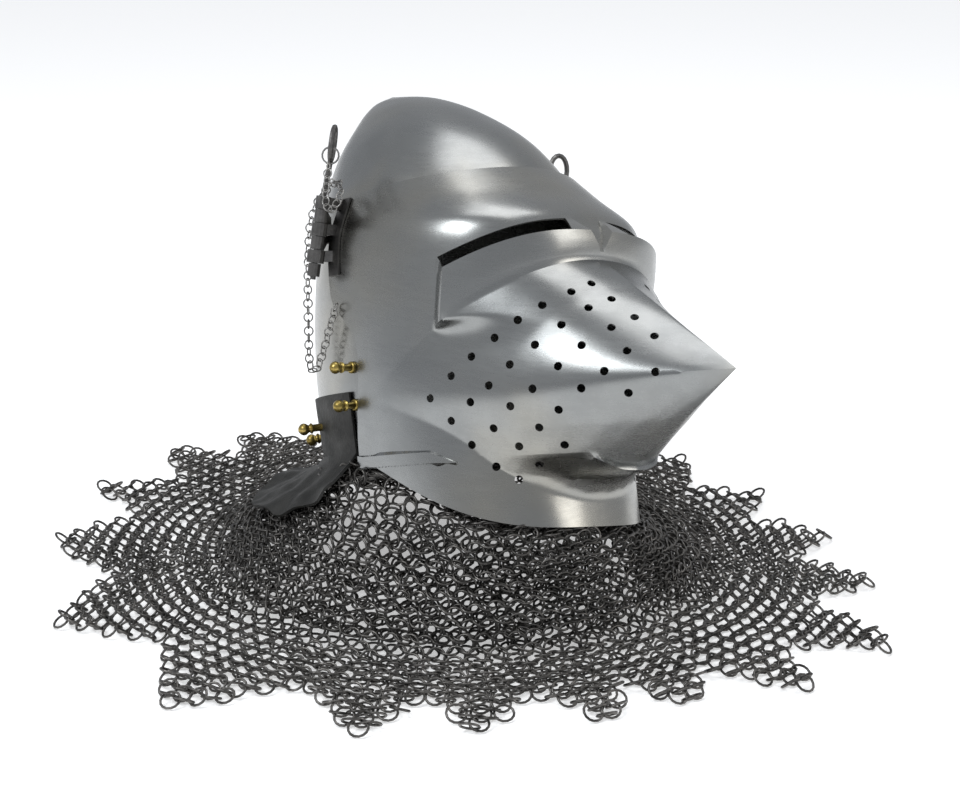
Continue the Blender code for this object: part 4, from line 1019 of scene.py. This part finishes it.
def make_mail():
    profiles = mail_profiles(PROFILES)
    widest = MAIL_RADIUS * MAIL_WIDEST_SHARE
    rings = []
    count = 0
    pitch = 0.0
    for row in range(RING_ROWS):
        inward = MAIL_FOOT_RADIUS - widest + row * RING_ROW_PITCH
        radius = MAIL_FOOT_RADIUS - inward
        if inward >= 0.0:
            radius = max(MAIL_FOOT_RADIUS - inward * MOUND_TAPER, MOUND_TOP_RADIUS)
        pitch = 2.0 * math.pi * radius / count if count else 0.0
        if not PITCH_LEAST * RING_PITCH <= pitch <= PITCH_MOST * RING_PITCH:
            count = round(2.0 * math.pi * radius / (RING_PITCH * PITCH_MOST))
        for index in range(count):
            bearing = 360.0 * (index + 0.5 * (row % 2)) / count
            spot = mail_place(profiles, bearing, inward)
            if spot is None:
                continue
            reach = math.hypot(spot.x, spot.y) + RING_RADIUS * EDGE_ROOM
            if inward < 0.0 and outline_radius(bearing) < reach:
                continue
            inner = mail_place(profiles, bearing, inward + SLOPE_PROBE) or spot
            outer = mail_place(profiles, bearing, inward - SLOPE_PROBE)
            if (outer - inner).length < 1e-6:
                continue
            down = (outer - inner).normalized()
            around = Vector((-math.sin(math.radians(bearing)), math.cos(math.radians(bearing)), 0.0))
            around = (around - down * around.dot(down)).normalized()
            normal = down.cross(around)
            row_lean = RING_LEAN if row % 2 else -RING_LEAN
            lean = math.radians(row_lean + chance.uniform(-LEAN_SPREAD, LEAN_SPREAD))
            fore = Matrix.Rotation(lean, 3, around) @ down
            twist = math.radians(chance.uniform(-TWIST_SPREAD, TWIST_SPREAD))
            side = Matrix.Rotation(twist, 3, fore) @ around
            lift = RING_LARGEST * RING_RADIUS * math.hypot(side.dot(normal), fore.dot(normal)) + RING_WIRE
            spot = spot + around * chance.uniform(-AROUND_SPREAD, AROUND_SPREAD)
            spot = spot + down * chance.uniform(-DOWN_SPREAD, DOWN_SPREAD)
            rings.append((spot + normal * lift, side, fore))
            if spot.z > UNDER_LAYER_START:
                under = spot + around * RING_PITCH / 2.0 + normal * (lift - UNDER_LAYER_DROP)
                back = Matrix.Rotation(-lean, 3, around) @ down
                rings.append((under, side, back))
    nearby = KDTree(len(rings))
    for index, (spot, side, fore) in enumerate(rings):
        nearby.insert(spot, index)
    nearby.balance()
    rings = [ring for ring in rings if len(nearby.find_range(ring[0], RING_PITCH * PITCH_MOST)) > NEIGHBOURS]
    parts = max(math.ceil(len(rings) / RINGS_PER_PIECE), 1)
    size = math.ceil(len(rings) / parts)
    for part in range(parts):
        points, faces = [], []
        for spot, side, fore in rings[part * size:(part + 1) * size]:
            radius = RING_RADIUS * chance.uniform(RING_SMALLEST, RING_LARGEST)
            ring, ring_faces = torus_points(
                spot, side * radius, fore * radius, RING_WIRE, RING_POINTS, RING_SIDES
            )
            base = len(points)
            points += ring
            faces += [tuple(base + corner for corner in face) for face in ring_faces]
        made = mesh_object("mail_rings_%d" % (part + 1), points, faces, WIRE, GROUND_TO_WORLD, None)
        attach(made, "root")
        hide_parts("mail_aventail")


# The leather band

def leather_point(angle, row, rows_on_skull, rows_of_skirt):
    turn = math.radians(angle)
    if row <= rows_on_skull:
        height = LEATHER_TOP_Z + (SKULL_RIM_Z + 1.0 - LEATHER_TOP_Z) * row / rows_on_skull
        return HELMET @ skull_point(height, turn, 0.8)
    step = (row - rows_on_skull) / rows_of_skirt
    away = (angle - 360.0 + LEATHER_FLAP_ANGLE) / LEATHER_FLAP_WIDTH
    spread = LEATHER_SKIRT + LEATHER_FLAP * math.exp(-away * away)
    bearing = angle - 90.0 + HEADING
    broad = math.cos(turn * LEATHER_FOLDS)
    narrow = LEATHER_CREASE * math.sin(turn * LEATHER_CREASES)
    fold = LEATHER_FOLD * (1.0 + broad + narrow) * step
    place = mail_mound(bearing, spread * step + LEATHER_SKIRT_START)
    rumple = LEATHER_RUMPLE * (1.0 + noise.noise(place * LEATHER_RUMPLE_SCALE)) * step
    return place + Vector((0.0, 0.0, LEATHER_REST + fold + rumple + LEATHER_EDGE_LIFT * step))


def make_leather():
    columns = LEATHER_COLUMNS
    on_skull = LEATHER_ROWS_ON_SKULL
    of_skirt = LEATHER_ROWS_OF_SKIRT
    points = []
    for row in range(on_skull + of_skirt + 1):
        for column in range(columns + 1):
            angle = LEATHER_START_ANGLE + (360.0 - 2.0 * LEATHER_START_ANGLE) * column / columns
            points.append(leather_point(angle, row, on_skull, of_skirt))
    faces = grid_faces(on_skull + of_skirt + 1, columns + 1, False)
    made = mesh_object("leather_band_hide", points, faces, LEATHER, GROUND_TO_WORLD)
    thicken(made, LEATHER_THICKNESS, 1.0)
    apply_modifiers(made, 40.0)
    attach(made, "root")
    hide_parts("leather_band")


# The stage, the light and the camera

def make_stage():
    bpy.ops.mesh.primitive_plane_add(size=30.0, location=(0.0, 0.0, -0.0005))
    floor = bpy.context.object
    floor.name = "floor"
    made = bpy.data.materials.new("floor_white")
    made.use_nodes = True
    shader = made.node_tree.nodes["Principled BSDF"]
    shader.inputs["Base Color"].default_value = (0.9, 0.9, 0.9, 1.0)
    shader.inputs["Roughness"].default_value = 0.9
    shader.inputs["Emission Color"].default_value = (1.0, 1.0, 1.0, 1.0)
    shader.inputs["Emission Strength"].default_value = 0.42
    floor.data.materials.append(made)


def add_area(name, place, size, energy, colour=(1.0, 1.0, 1.0), target=(0.0, 0.0, 0.15), size_y=None):
    light = bpy.data.lights.new(name, "AREA")
    light.energy = energy
    light.color = colour
    light.size = size
    if size_y:
        light.shape = "RECTANGLE"
        light.size_y = size_y
    made = bpy.data.objects.new(name, light)
    made.location = place
    made.rotation_euler = (Vector(target) - Vector(place)).to_track_quat("-Z", "Y").to_euler()
    bpy.context.scene.collection.objects.link(made)


def make_light():
    world = bpy.data.worlds.new("studio")
    world.use_nodes = True
    world.node_tree.nodes["Background"].inputs["Color"].default_value = (0.92, 0.95, 1.0, 1.0)
    world.node_tree.nodes["Background"].inputs["Strength"].default_value = 0.5
    bpy.context.scene.world = world
    add_area("key", (-1.1, -0.9, 1.7), 0.8, 17.0, (0.95, 0.98, 1.0))
    add_area("top", (0.2, 0.5, 2.2), 1.4, 13.0)
    add_area("side", (1.9, -0.5, 1.0), 0.8, 6.0, (1.0, 0.97, 0.92))


def make_camera():
    rise = math.radians(CAMERA_RISE)
    ahead = Vector((0.0, math.cos(rise), -math.sin(rise)))
    data = bpy.data.cameras.new("camera")
    data.lens = CAMERA_LENS
    data.sensor_width = 36.0
    camera = bpy.data.objects.new("camera", data)
    camera.location = (Vector(CAMERA_TARGET) - ahead * CAMERA_DISTANCE + SHIFT) * MM
    camera.rotation_euler = ahead.to_track_quat("-Z", "Y").to_euler()
    bpy.context.scene.collection.objects.link(camera)
    bpy.context.scene.camera = camera


make_camera()
make_visor()
make_skull()
make_vervelles()
make_chain("right", 1.0)
make_chain("left", -1.0)
dress_hardware()
make_leather()
make_mail()
make_stage()
make_light()
bpy.context.scene.view_settings.view_transform = "Standard"
